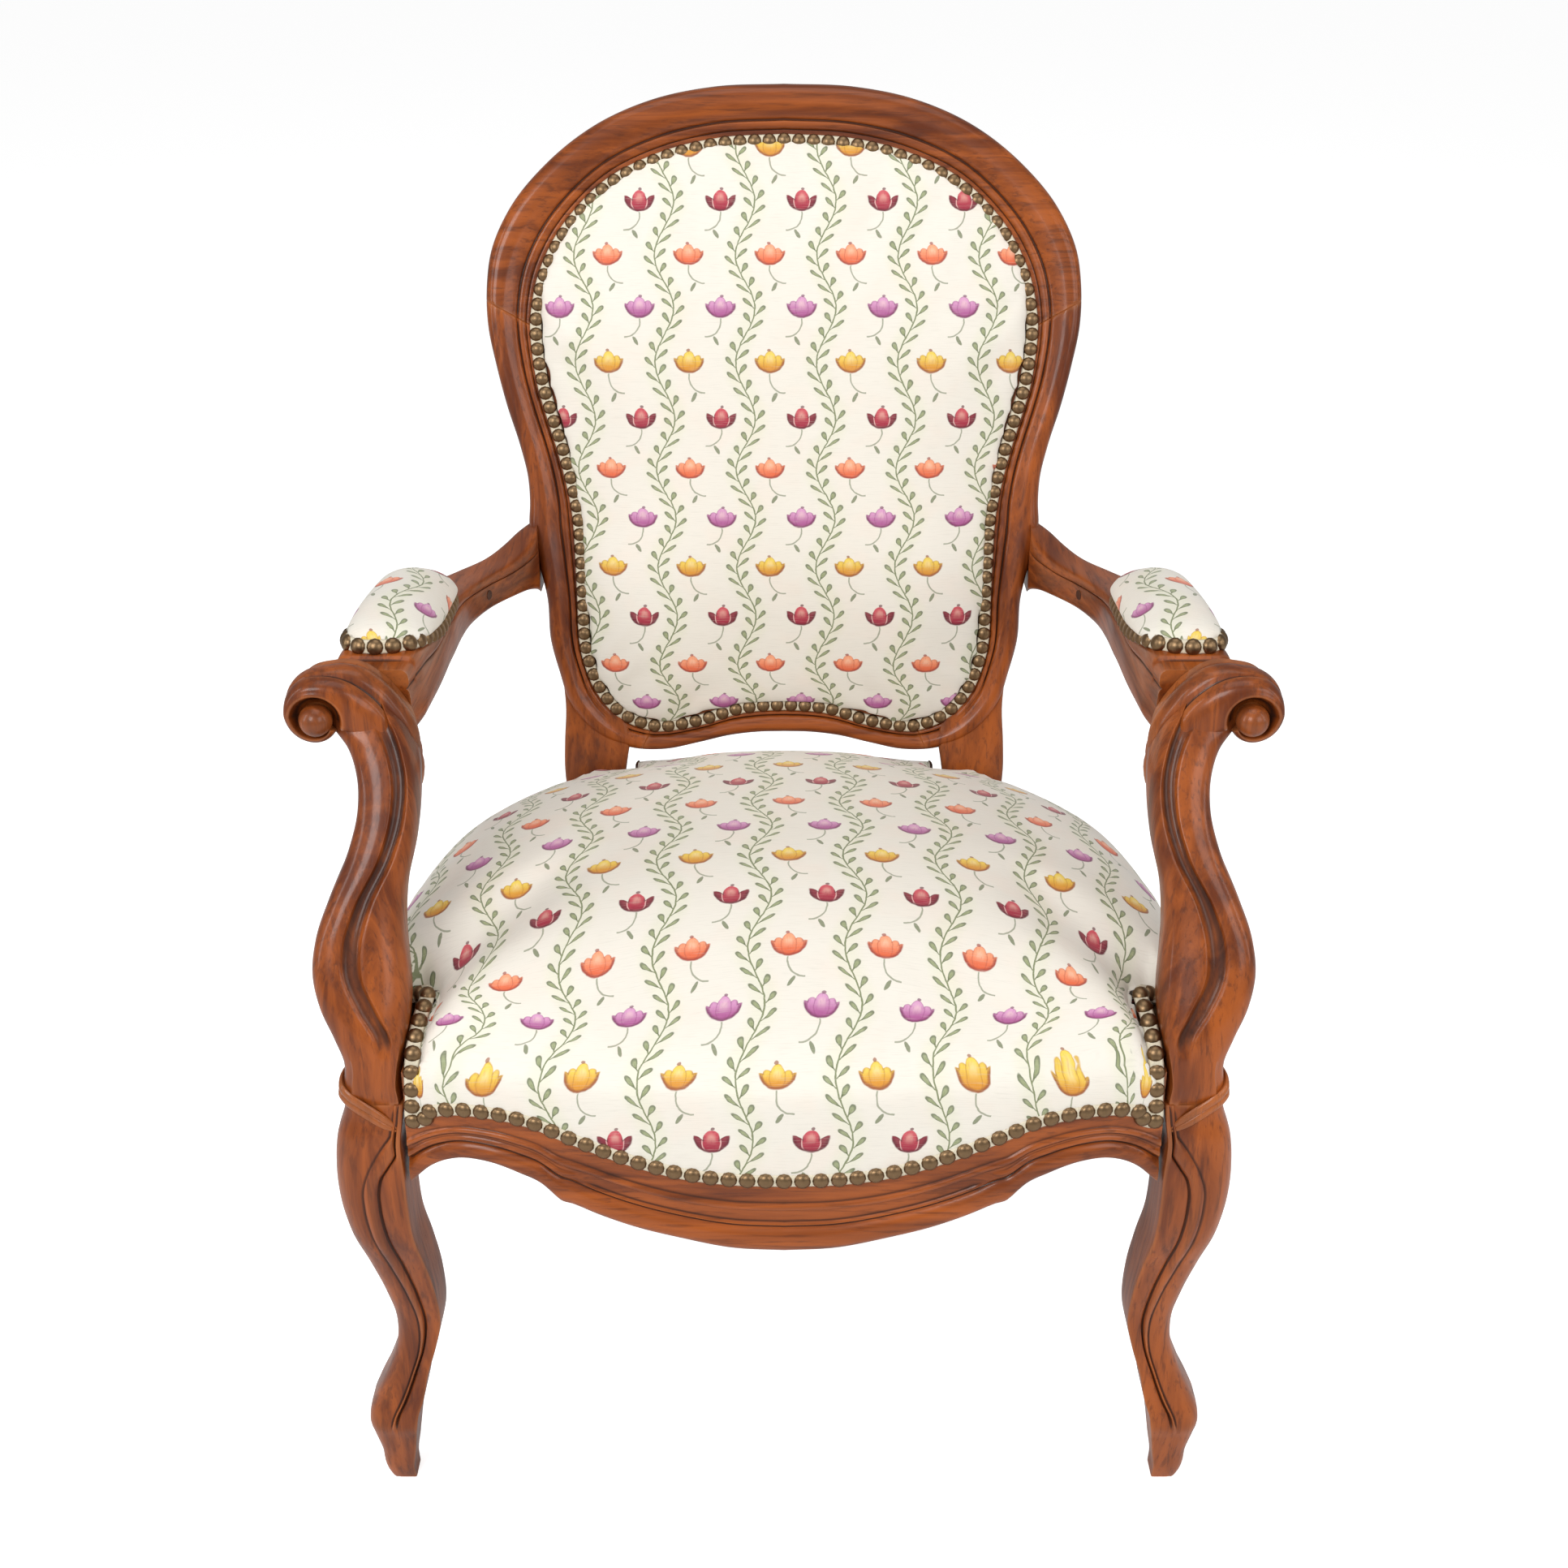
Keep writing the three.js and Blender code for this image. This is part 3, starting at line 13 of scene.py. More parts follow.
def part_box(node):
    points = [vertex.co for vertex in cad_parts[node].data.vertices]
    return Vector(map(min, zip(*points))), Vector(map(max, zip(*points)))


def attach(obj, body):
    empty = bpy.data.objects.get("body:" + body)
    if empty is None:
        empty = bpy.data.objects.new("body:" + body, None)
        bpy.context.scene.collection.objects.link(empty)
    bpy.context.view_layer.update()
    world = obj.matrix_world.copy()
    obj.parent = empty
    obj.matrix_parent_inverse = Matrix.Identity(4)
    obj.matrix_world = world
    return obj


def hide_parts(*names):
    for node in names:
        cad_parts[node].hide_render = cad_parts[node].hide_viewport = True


bl_info = {
    "name": "Open-arm Chair",
    "version": (1, 0, 0),
    "blender": (4, 5, 0),
    "location": "View3D > Sidebar > Chair",
    "description": "Carved walnut frame, printed cover and brass nails of an open-arm chair",
    "category": "Object",
}

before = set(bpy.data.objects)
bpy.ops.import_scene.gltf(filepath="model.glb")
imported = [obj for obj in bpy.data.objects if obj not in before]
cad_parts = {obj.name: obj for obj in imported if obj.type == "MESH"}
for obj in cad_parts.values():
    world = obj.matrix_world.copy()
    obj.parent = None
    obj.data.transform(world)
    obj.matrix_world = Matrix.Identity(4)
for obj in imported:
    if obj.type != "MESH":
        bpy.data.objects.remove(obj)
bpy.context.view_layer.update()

# The tables below are in millimetres from the chair's centre plane, its datum line and the floor.
# The datum line lies where the front face of the front rail stands 340 mm before it.
DATUM_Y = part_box("front_rail")[0].y + 0.340

SEAT_TOP = 388
SEAT_SLOPE = tan(radians(4.4))
POST_FRONT = -308
RECLINE = radians(14.9)
BACK_BASE = 366
BACK_HALF = 253
BACKWARDS = Vector((0, cos(RECLINE), -sin(RECLINE)))


def at(x, y, z):
    """A place of the tables, in metres in the shared frame."""
    return Vector((x / 1000, y / 1000 + DATUM_Y, z / 1000))


def rail_top(y):
    return SEAT_TOP - SEAT_SLOPE * (y - POST_FRONT)


def from_frame(place):
    """A place in the shared frame, in the millimetres of the tables."""
    return place[0] * 1000, (place[1] - DATUM_Y) * 1000, place[2] * 1000


def back_face(x, z):
    return 170 + tan(RECLINE) * (z - BACK_BASE) - 20 * (x / BACK_HALF) ** 2


def back_place(x, z, depth):
    """A place on the reclined back, a depth behind its face."""
    return at(x, back_face(x, z) + depth * cos(RECLINE), z - depth * sin(RECLINE))


def front_face(x):
    return -311 - 29 * (1 - (x / 258.6) ** 2)


# Curves

def mix(a, b, share):
    return a + (b - a) * share


def step(low, high, value):
    """Smooth rise from 0 at low to 1 at high."""
    share = min(max((value - low) / (high - low), 0), 1)
    return share * share * (3 - 2 * share)


def spline(rows, tight=False):
    """Smooth curve through rows of numbers, looked up by the first of each."""
    places = np.array([row[0] for row in rows], float)
    values = np.array([row[1:] for row in rows], float)
    spans = np.diff(places)[:, None]
    secants = np.diff(values, axis=0) / spans
    slopes = np.zeros_like(values)
    slopes[0], slopes[-1] = secants[0], secants[-1]
    before, after = secants[:-1], secants[1:]
    if tight:
        both = np.where(before * after > 0, 2 * before * after / (before + after + 1e-12), 0)
        slopes[1:-1] = both
    else:
        slopes[1:-1] = (before * spans[1:] + after * spans[:-1]) / (spans[1:] + spans[:-1])

    def look_up(place):
        i = int(np.clip(np.searchsorted(places, place) - 1, 0, len(spans) - 1))
        h = spans[i][0]
        t = min(max((place - places[i]) / h, 0), 1)
        a = (1 + 2 * t) * (1 - t) ** 2 * values[i] + t * (1 - t) ** 2 * h * slopes[i]
        b = t * t * (3 - 2 * t) * values[i + 1] + t * t * (t - 1) * h * slopes[i + 1]
        return a + b

    return look_up


def trace(rows, spacing):
    """Rows of numbers, the first three a place, resampled evenly along their smooth curve."""
    rows = [list(map(float, row)) for row in rows]
    lengths = [0.0]
    for a, b in zip(rows, rows[1:]):
        lengths.append(lengths[-1] + max(1e-6, (Vector(b[:3]) - Vector(a[:3])).length))
    curve = spline([[s] + row for s, row in zip(lengths, rows)])
    count = max(2, round(lengths[-1] / spacing))
    return [list(curve(lengths[-1] * i / count)) for i in range(count + 1)]


def dense(points, each=3):
    """A profile with more points along its smooth curve."""
    lengths = [0.0]
    for a, b in zip(points, points[1:]):
        lengths.append(lengths[-1] + max(1e-6, hypot(b[0] - a[0], b[1] - a[1])))
    curve = spline([[s, *p] for s, p in zip(lengths, points)], tight=True)
    out = []
    for a, b in zip(lengths, lengths[1:]):
        out += [tuple(curve(mix(a, b, i / each))) for i in range(each)]
    return out + [tuple(points[-1])]


# Meshes

def skin(bm, rows, ring=False, caps=True):
    """A grid of quads laid through rows of places, closed into a tube where each row is a ring."""
    if ring:
        rows = [list(row) + [row[0]] for row in rows]
    across, along = len(rows[0]), len(rows)
    made = bmesh.ops.create_grid(bm, x_segments=across - 1, y_segments=along - 1, size=1)["verts"]
    made = sorted(made, key=lambda v: (round(v.co.y, 5), round(v.co.x, 5)))
    for vert, place in zip(made, (place for row in rows for place in row)):
        vert.co = place
    if ring:
        first = [made[i * across] for i in range(along)]
        last = [made[i * across + across - 1] for i in range(along)]
        bmesh.ops.remove_doubles(bm, verts=first + last, dist=1e-7)
        if caps:
            edges = [e for e in bm.edges if e.is_boundary]
            bmesh.ops.holes_fill(bm, edges=edges, sides=0)
    return made


def piece(bm, name, material, sharp=40, merge=1e-6):
    """Turns a bmesh into a named piece of the chair that rides on its body."""
    if merge:
        bmesh.ops.remove_doubles(bm, verts=bm.verts, dist=merge)
    bmesh.ops.recalc_face_normals(bm, faces=bm.faces)
    mesh = bpy.data.meshes.new(name)
    bm.to_mesh(mesh)
    bm.free()
    mesh.shade_smooth()
    if sharp:
        mesh.set_sharp_from_angle(angle=radians(sharp))
    made = bpy.data.objects.new(name, mesh)
    bpy.context.scene.collection.objects.link(made)
    mesh.materials.append(material)
    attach(made, "root")
    return made


def vertex_places(mesh):
    places = np.empty(len(mesh.vertices) * 3)
    mesh.vertices.foreach_get("co", places)
    return places.reshape(-1, 3)


def edge_ends(mesh):
    edges = np.empty(len(mesh.edges) * 2, np.int64)
    mesh.edges.foreach_get("vertices", edges)
    return edges.reshape(-1, 2).T


def mark_hollows(made, rounds=3):
    """Stores how hollow (below 0.5) or proud (above 0.5) the surface is at each vertex."""
    mesh = made.data
    count = len(mesh.vertices)
    places = vertex_places(mesh)
    normals = np.empty(count * 3, np.float32)
    mesh.vertex_normals.foreach_get("vector", normals)
    normals = normals.reshape(-1, 3)
    a, b = edge_ends(mesh)
    away = places[b] - places[a]
    length = np.maximum(np.linalg.norm(away, axis=1), 1e-7)
    rise = np.zeros(count)
    total = np.zeros(count)
    np.add.at(rise, a, np.einsum("ij,ij->i", away, normals[a]) / length)
    np.add.at(rise, b, -np.einsum("ij,ij->i", away, normals[b]) / length)
    np.add.at(total, a, 1)
    np.add.at(total, b, 1)
    value = rise / np.maximum(total, 1)
    for _ in range(rounds):
        spread = np.zeros(count)
        np.add.at(spread, a, value[b])
        np.add.at(spread, b, value[a])
        value = (value + spread / np.maximum(total, 1)) / 2
    layer = mesh.attributes.new("hollow", "FLOAT", "POINT")
    layer.data.foreach_set("value", np.clip(0.5 - 2.2 * value, 0, 1).astype(np.float32))


def carved(bm, name, material, node):
    """A finished wooden piece that stands for a node."""
    made = piece(bm, name, material)
    mark_hollows(made)
    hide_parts(node)


def flip(places):
    return [[Vector((-p.x, p.y, p.z)) for p in row] for row in places]


def rounded(width, depth, radius, steps=4):
    """A ring round the corners of a rectangle about nought, from its front left corner."""
    radius = min(radius, width / 2 - 0.01, depth / 2 - 0.01)
    ring = []
    for corner, (sx, sy) in enumerate(((-1, -1), (1, -1), (1, 1), (-1, 1))):
        cx, cy = sx * (width / 2 - radius), sy * (depth / 2 - radius)
        for i in range(steps + 1):
            turn = pi + corner * pi / 2 + pi / 2 * i / steps
            ring.append((cx + radius * cos(turn), cy + radius * sin(turn)))
    return ring


# Back frame

# Outer edge and nail line of the moulded hoop, across and up, from the middle of its top to the
# middle of its bottom rail.
HOOP = [
    (0, 942, 0, 897), (58, 940, 55, 894), (112, 930, 104, 883), (159, 911, 146, 864),
    (200, 882, 178, 835), (231, 848, 196, 808), (248, 813, 206, 782), (252, 788, 210, 760),
    (252, 756, 210, 739), (246, 723, 206, 708), (238, 690, 199, 682), (228, 657, 190, 652),
    (222, 630, 184, 628), (221, 610, 180, 608), (222, 590, 178, 590), (215, 560, 177, 560),
    (208, 528, 176, 526), (206, 493, 175, 492), (199, 465, 171, 472), (190, 437, 162, 450),
    (176, 418, 150, 434), (158, 404, 137, 424), (136, 396, 122, 418), (106, 394, 104, 416),
    (77, 399, 72, 421), (48, 405, 44, 429), (24, 407.5, 23, 432), (0, 408, 0, 433),
]
# Section of the hoop from its outer edge to the nails, as a share of its width and a depth.
HOOP_SECTION = [
    (0, 14), (0.02, 9), (0.06, 4.5), (0.13, 1.6), (0.22, 0.2), (0.32, 0), (0.43, 0.8),
    (0.53, 2.2), (0.60, 3.7), (0.635, 5.2), (0.65, 4.9), (0.665, 3.2), (0.70, 2.5), (0.75, 2.7),
    (0.785, 3.5), (0.81, 4.7), (0.83, 4.3), (0.87, 4.2), (1, 4.5),
]
TACK_WIDTH = 14


def hoop_stations(spacing=4.0):
    rows = [(ox, 0, oz, nx, nz) for ox, oz, nx, nz in HOOP]
    return [(r[0], r[2], r[3], r[4]) for r in trace(rows, spacing)]


def hoop_ring(station, thickness=38, sink=0):
    ox, oz, nx, nz = station
    width = hypot(nx - ox, nz - oz)
    dx, dz = (nx - ox) / width, (nz - oz) / width
    places = [(share * width, depth) for share, depth in dense(HOOP_SECTION)]
    places += [(width + TACK_WIDTH, 4.5), (width + TACK_WIDTH, thickness * 0.8)]
    places += [(width * 0.85, thickness * 0.97), (width * 0.6, thickness), (width * 0.3, thickness)]
    places += [(width * 0.12, thickness * 0.95), (width * 0.03, thickness * 0.84), (0, thickness * 0.7)]
    ring = []
    for along, depth in places:
        inset = sink if depth < thickness / 2 else -sink
        ring.append(back_place(-(ox + dx * along), oz + dz * along, depth + inset))
    return ring


def split_hoop():
    """The stations of the crest, of one stile and of the bottom rail, which share their joints."""
    stations = hoop_stations()
    shoulder = next(i for i, s in enumerate(stations) if s[1] < 778)
    foot = next(i for i, s in enumerate(stations) if s[1] < 420 and s[0] < 128)
    return stations[:shoulder + 1], stations[shoulder:foot + 1], stations[foot:]


def eased(stations, first, last, **shape):
    """Rings of the stations, each end at a joint eased by a hair."""
    rings = [hoop_ring(s, **shape) for s in stations]
    if first:
        near = tuple(mix(a, b, 0.2) for a, b in zip(stations[0], stations[1]))
        rings = [hoop_ring(stations[0], sink=0.6, **shape), hoop_ring(near, **shape)] + rings[1:]
    if last:
        near = tuple(mix(a, b, 0.2) for a, b in zip(stations[-1], stations[-2]))
        rings = rings[:-1] + [hoop_ring(near, **shape), hoop_ring(stations[-1], sink=0.6, **shape)]
    return rings


# Rear leg and plain post: height, outer face, front face, width and thickness.
POST = [
    (0, 214, 278, 30.2, 28.2), (58.6, 207.1, 253.2, 31, 30.2), (120.8, 200.9, 222.5, 32.9, 33.2),
    (179.3, 196.1, 191.9, 36, 37), (241.6, 193.1, 170.6, 41, 39.9), (300, 191.9, 160.4, 45, 42),
    (355, 194, 160.5, 49.5, 42), (380, 196, 167.5, 55, 40), (403, 195.5, 174.5, 58, 38),
    (430, 194, 182.5, 52, 37), (458, 196, 190, 42, 34),
]


def post_rings():
    rows = trace([(r[1], r[2], r[0], r[3], r[4]) for r in POST], 6)
    rings = []
    for outer, front, z, width, depth in rows:
        ring = rounded(width, depth, 4.5)
        rings.append([at(-outer + width / 2 + a, front + depth / 2 + b, z) for a, b in ring])
    return rings


# Front rail: place across, then the heights of its nail line and its lower edge.
FRONT_RAIL = [
    (0, 318, 260), (37, 319, 262), (70, 323, 269), (104, 332, 277.5), (137, 344, 290),
    (157, 352, 300), (165, 355.5, 308), (180, 359.5, 315.5), (203, 362, 323), (225, 361, 322.5),
    (243, 356, 313), (258, 350, 297),
]
# Moulding of the rail's face from the nails to its lower edge: share of its height and depth.
BOW_SECTION = [
    (0, 1.2), (0.08, 0.9), (0.2, 1), (0.245, 0.6), (0.27, -0.9), (0.305, -1.5), (0.34, -0.9),
    (0.36, 0.8), (0.385, 3), (0.41, 3.5), (0.48, 3.7), (0.555, 3.5), (0.58, 2.4), (0.60, 1.8),
    (0.615, 3.0), (0.64, 1.2), (0.68, -0.6), (0.75, -2), (0.83, -2.5), (0.9, -1.7), (0.96, 1), (1, 5),
]
ARCH_SECTION = [
    (0, 1.2), (0.1, 0.8), (0.22, 0.9), (0.26, 0.6), (0.29, -0.7), (0.33, -1.4), (0.37, -0.8),
    (0.395, 0.6), (0.42, 1), (0.45, 0.8), (0.49, -0.3), (0.53, -0.4), (0.56, 0.8), (0.585, 2),
    (0.60, 2.4), (0.63, 0.9), (0.68, -0.6), (0.75, -1.6), (0.83, -1.8), (0.9, -1), (0.96, 1.2), (1, 5),
]
LIP = 13
RAIL_THICKNESS = 32
REBATE = 4.6


def rail_face(share):
    """Depth of the moulding at a place from the rail's middle, as pairs down its face."""
    bow, arch = dense(BOW_SECTION), dense(ARCH_SECTION)
    return [(mix(a[0], b[0], share), mix(a[1], b[1], share)) for a, b in zip(bow, arch)]


def rail_ring(nail, low, top, face, turn, lip=LIP):
    """Ring of a rail's section: turn gives the place for a depth and a height."""
    ring = [turn(depth, mix(nail, low, share)) for share, depth in face]
    inner = max(low + 3, top - 80)
    ring += [turn(lip * 0.7, low - 0.6), turn(lip, low + 1.5), turn(lip, inner)]
    ring += [turn(RAIL_THICKNESS, inner), turn(RAIL_THICKNESS, top - 0.4), turn(REBATE, top - 0.4)]
    ring += [turn(REBATE, nail + 1)]
    return ring


def front_rail_rings():
    table = spline(FRONT_RAIL)
    rings = []
    count = 130
    for i in range(-count, count + 1):
        x = 258.2 * i / count
        nail, low = table(abs(x))
        face = front_face(x)
        stretch = hypot(1, 58 * x / 258.6 ** 2)
        blend = step(126, 150, abs(x))
        # a small nib where the bow meets the arch
        dip = 1.8 * max(0, 1 - abs(abs(x) - 152) / 7)
        rings.append(rail_ring(nail, low - dip, rail_top(face), rail_face(blend),
                               lambda d, z: at(x, face + d * stretch, z)))
    return rings


# Side rail: place from front to rear, its outer face, then its nail line and lower edge as drops.
SIDE_RAIL = [
    (-266.6, 300, 33.6, 84), (-258, 300, 33.6, 73.9), (-246, 299.9, 33.6, 70.6),
    (-232, 299.8, 34.4, 75.6), (-217.6, 299.6, 36.1, 81.5), (-181.5, 298.9, 38.5, 83.4),
    (-156, 297.8, 39.5, 84), (-91.9, 291.8, 41.2, 84), (-53, 285.5, 41.2, 84), (-2.2, 273.3, 40.7, 84),
    (45, 256.8, 39, 84), (83.2, 240.6, 38, 84), (105, 229.5, 37, 83.2), (159.7, 191.2, 35.3, 82.3),
]


def side_rail_rings():
    rings = []
    rows = [(r[1], r[0], 0, r[2], r[3]) for r in SIDE_RAIL]
    stations = trace(rows, 4)
    face = rail_face(1)
    for i, (x, y, _, nail, low) in enumerate(stations):
        before, after = stations[max(i - 1, 0)], stations[min(i + 1, len(stations) - 1)]
        slope = (after[0] - before[0]) / (after[1] - before[1])
        stretch = hypot(1, slope)
        top = rail_top(y)
        rings.append(rail_ring(top - nail, top - low, top, face,
                               lambda d, z: at(-x + d * stretch, y, z), lip=16))
    return rings


# Front legs: height, outward swing and forward swing of the outer corner, width.
LEG = [
    (0, 2.8, -15, 20), (5, 4.5, -13.6, 21.5), (12, 6, -12, 23), (31, 7, -9, 27), (50, 11.1, -6, 33.8),
    (62, 13, -3.6, 37.6), (70, 12.2, -4.4, 38), (83, 7, -7.5, 37), (107, -4.1, -12, 31.2),
    (130, -12, -14, 30.2), (154, -14, -13, 33.8), (186, -9, -8, 39), (218, -1, -2, 43.2),
    (250, 7, 6, 46.8), (281, 11.1, 9.4, 50), (310, 11.1, 9.4, 50), (334, 8, 6.5, 45.8),
    (350, 2.8, 2.3, 42.6), (361.7, 0, 0, 41.1),
]
# Where the groove and the outer edge of the roll beside it lie on the leg's face: height, and the
# places across in half widths from the outer side.
LEG_LINES = [
    (0, 0.2, -0.1), (56, 0.18, -0.08), (66, 0.20, 0.02), (83, 0.30, 0.12), (100, 0.38, 0.2), (130, 0.42, 0.2),
    (154, 0.36, 0.08), (186, 0.30, -0.04), (218, 0.26, -0.14), (250, 0.22, -0.2), (281, 0.22, -0.2),
    (296, 0.26, -0.16), (306.5, 0.38, -0.05), (313.5, 0.56, 0.06), (322, 0.80, 0.24), (329, 1.0, 0.42),
    (336, 1.02, 0.62), (343, 1.04, 0.86), (350, 1.06, 1.02), (361.7, 1.1, 1.08),
]


def leg_face(groove, roll, depth):
    """Places across the front face from its inner arris, and how far each stands back."""
    places = [(1.0, 1.9), (0.985, 0.7), (0.93, 0.1), (0.87, 0.0)]
    near = min(groove, 0.86)
    places += [(mix(0.87, near, t), depth * 0.75 * t * t) for t in (0.3, 0.55, 0.75, 0.9)]
    places += [(near, depth * 1.25), (near - 0.035, depth * 0.9), (near - 0.07, depth * 0.2)]
    edge = min(roll, near - 0.16)
    for t in (0.2, 0.4, 0.6, 0.8):
        places.append((mix(near - 0.07, edge, t), -depth * 0.75 * sin(pi * t) ** 0.8))
    places += [(edge, depth * 0.42), (edge - 0.05, depth * 0.36), (edge - 0.12, depth * 0.1)]
    last = min(edge - 0.2, -0.35)
    places += [(mix(edge - 0.12, last, 0.5), 0.1), (last, 0.3)]
    return places


def leg_rings():
    rows = trace([(300 + s, f, z, w) for z, s, f, w in LEG], 3)
    lines = spline(LEG_LINES)
    side = [(-0.56, -0.955), (-0.7, -0.87), (-0.8, -0.78), (-0.885, -0.67), (-0.95, -0.52), (-0.985, -0.3),
            (-1.0, 0), (-1.0, 0.4), (-1.0, 0.7), (-0.97, 0.88), (-0.88, 0.96), (-0.7, 1.0), (-0.3, 1.0), (0.3, 1.0),
            (0.7, 1.0), (0.88, 0.96), (0.96, 0.88), (1.0, 0.7), (1.0, 0.3), (1.0, -0.2), (1.0, -0.55), (1.0, -0.8)]
    rings = []
    for outer, forward, z, width in rows:
        w = width / 2
        cx, cy = -outer + w, -(308 + forward) + w
        groove, roll = lines(z)
        depth = 1.9 * step(54, 70, z) * (1 - 0.75 * step(336, 350, z))
        ring = []
        for a, back in leg_face(groove, roll, depth):
            turn = 0.045 * max(0, -a) ** 2 * w
            ring.append(at(cx + a * w, cy - w + back + turn, z))
        ring += [at(cx + a * w, cy + b * w, z) for a, b in side]
        rings.append(ring)
    return rings


# Arm supports: height, outer and inner face, front and rear face, place of the two arrises.
SUPPORT = [
    (361.9, 300, 259, -308.4, -267.2, 0.50, 0.80), (368, 300.5, 259.3, -309.6, -267.5, 0.52, 0.81),
    (376, 299.5, 260, -310.6, -268, 0.54, 0.82), (390, 298, 259, -310, -268, 0.58, 0.86),
    (410, 304, 255, -307.5, -263, 0.60, 0.86),
    (430, 312, 253, -302.5, -257, 0.46, 0.72), (453, 316.3, 254.5, -294, -248, 0.35, 0.59),
    (472, 314, 256, -285, -239, 0.33, 0.58), (496, 305, 255, -272.5, -227, 0.37, 0.62),
    (524, 292.5, 249, -256.5, -212, 0.50, 0.76), (547, 287, 247, -242, -198, 0.58, 0.86),
    (567, 287.5, 247.5, -231, -186, 0.62, 0.90), (585, 294, 251.5, -221, -176, 0.64, 0.91),
    (597, 304, 256, -214.6, -170, 0.66, 0.92), (606, 311, 262, -208, -168, 0.68, 0.93),
    (616, 310, 268, -199, -168, 0.68, 0.92),
]
SUPPORT_FACE = [
    (0, 15), (0.01, 10), (0.04, 5.8), (0.10, 2.4), (0.18, 0.5), (0.25, 0), (0.31, 0.4), (0.345, 0.7),
    (0.355, 1.1), (0.38, 3.2), (0.43, 5), (0.49, 5.4), (0.54, 4.4), (0.575, 2.4), (0.595, 1.2),
    (0.61, 1.1), (0.65, 1.6), (0.75, 3.6), (0.86, 6.6), (0.95, 11), (1, 18),
]


def support_rings():
    rows = trace([(r[1], r[3], r[0], r[2], r[4], r[5], r[6]) for r in SUPPORT], 3)
    face = dense(SUPPORT_FACE, 2)
    rings = []
    for outer, front, z, inner, rear, one, two in rows:
        width, thick = outer - inner, rear - front
        fade = 1 - 0.8 * step(418, 396, z)
        ring = []
        for share, depth in face:
            if share < 0.35:
                place = share / 0.35 * one
            elif share < 0.60:
                place = mix(one, two, (share - 0.35) / 0.25)
            else:
                place = mix(two, 1, (share - 0.60) / 0.40)
            if 0.1 < share < 0.9:
                depth *= fade
            ring.append(at(-outer + place * width, front + min(depth, thick * 0.45), z))
        back = [(1, 0.62), (0.985, 0.86), (0.93, 0.965), (0.8, 1), (0.5, 1.0), (0.2, 1), (0.07, 0.965),
                (0.015, 0.86), (0, 0.62)]
        ring += [at(-outer + a * width, front + b * thick, z) for a, b in back]
        rings.append(ring)
    return rings


# Scroll at the top of the support: its turn about the eye in degrees, and there the radius of the
# groove between its two rolls and of the hollow behind the second roll.
EYE = (-312, 606)
EYE_FRONT = -213.0
EYE_RADIUS = 0.0112
SCROLL_FRONT = -215.5
SCROLL_RINGS = 110
RIM_RADIUS = 17.6
# Section of the scroll's rim from the eye outwards: depth, and radius as a share of the rim's.
SCROLL_RIM = [(10, 0.45), (9.4, 0.62), (7, 0.8), (3, 0.92), (1.0, 0.97), (0.2, 1.02), (0.1, 1.08), (0.7, 1.13)]
SCROLL = [
    (-46, 75, 85), (-38, 68, 78), (-30, 61, 70), (-24.6, 57.1, 67), (-14, 51, 61.8),
    (-4, 46.2, 55.6), (5, 42.5, 50.5), (15, 38.8, 46.5), (25, 35.6, 42.8), (42, 32, 38.2),
    (60, 29.2, 33), (77, 27.4, 28.6), (90, 26.6, 27), (105, 26.1, 26), (130, 24.5, 24.3),
    (160, 22, 21.8), (180, 20.3, 20), (210, 18.6, 18.4), (240, 17.4, 17.2), (270, 16.6, 16.4),
    (300, 15.6, 15.4), (326, 14.4, 14.2),
]


def scroll_ring(groove, hollow):
    """Depth and radius round the scroll's section, from its eye over both rolls to the arm."""
    rim = min(RIM_RADIUS, groove - 3.4)
    ring = [(depth, rim * share) for depth, share in SCROLL_RIM]
    start = rim * 1.16
    for i in range(1, 10):
        turn = pi / 2 * i / 9
        ring.append((1.0 + 10.5 * (1 - cos(turn)), mix(start, groove + 1.1, sin(turn))))
    ring += [(12.6, groove + 0.2), (13.3, groove - 0.7), (14.0, groove + 0.1)]
    for i in range(0, 9):
        turn = pi * i / 8
        out = mix(groove + 0.8, hollow - 0.6, i / 8) + (2.0 + 0.5 * (hollow - groove)) * sin(turn)
        ring.append((mix(14.6, 31, (1 - cos(turn)) / 2), out))
    ring += [(32.4, hollow - 2.4), (33.6, hollow - 3.6), (36, hollow - 3.8), (40, hollow - 3), (46, hollow - 3)]
    return ring


def scroll_rings():
    turns = spline(SCROLL)
    rings = []
    for i in range(SCROLL_RINGS):
        degrees = mix(SCROLL[0][0], SCROLL[-1][0], i / (SCROLL_RINGS - 1))
        groove, hollow = turns(degrees)
        turn = radians(degrees)
        # the lower right end sinks into the support, the tip of the curl into its own rim
        sunk = 9 * step(-14, -46, degrees)
        ring = []
        for depth, r in scroll_ring(groove, hollow):
            ring.append(at(EYE[0] + r * cos(turn), SCROLL_FRONT + depth + sunk, EYE[1] + r * sin(turn)))
        rings.append(ring)
    return rings


# Ring where the support meets the leg: places along it, and the width of its two beads there.
COLLAR = [
    (-299, -272, 375, 0.6), (-301.2, -284, 374.5, 1.8), (-302.4, -296, 373, 2.6), (-301, -304.5, 370.5, 3.0),
    (-295.5, -309.2, 366.5, 3.0), (-288, -311.4, 361.5, 2.8), (-279, -312.2, 355, 2.5), (-270.5, -312.2, 348.5, 2.0),
    (-263, -311.2, 342.5, 0.8),
]


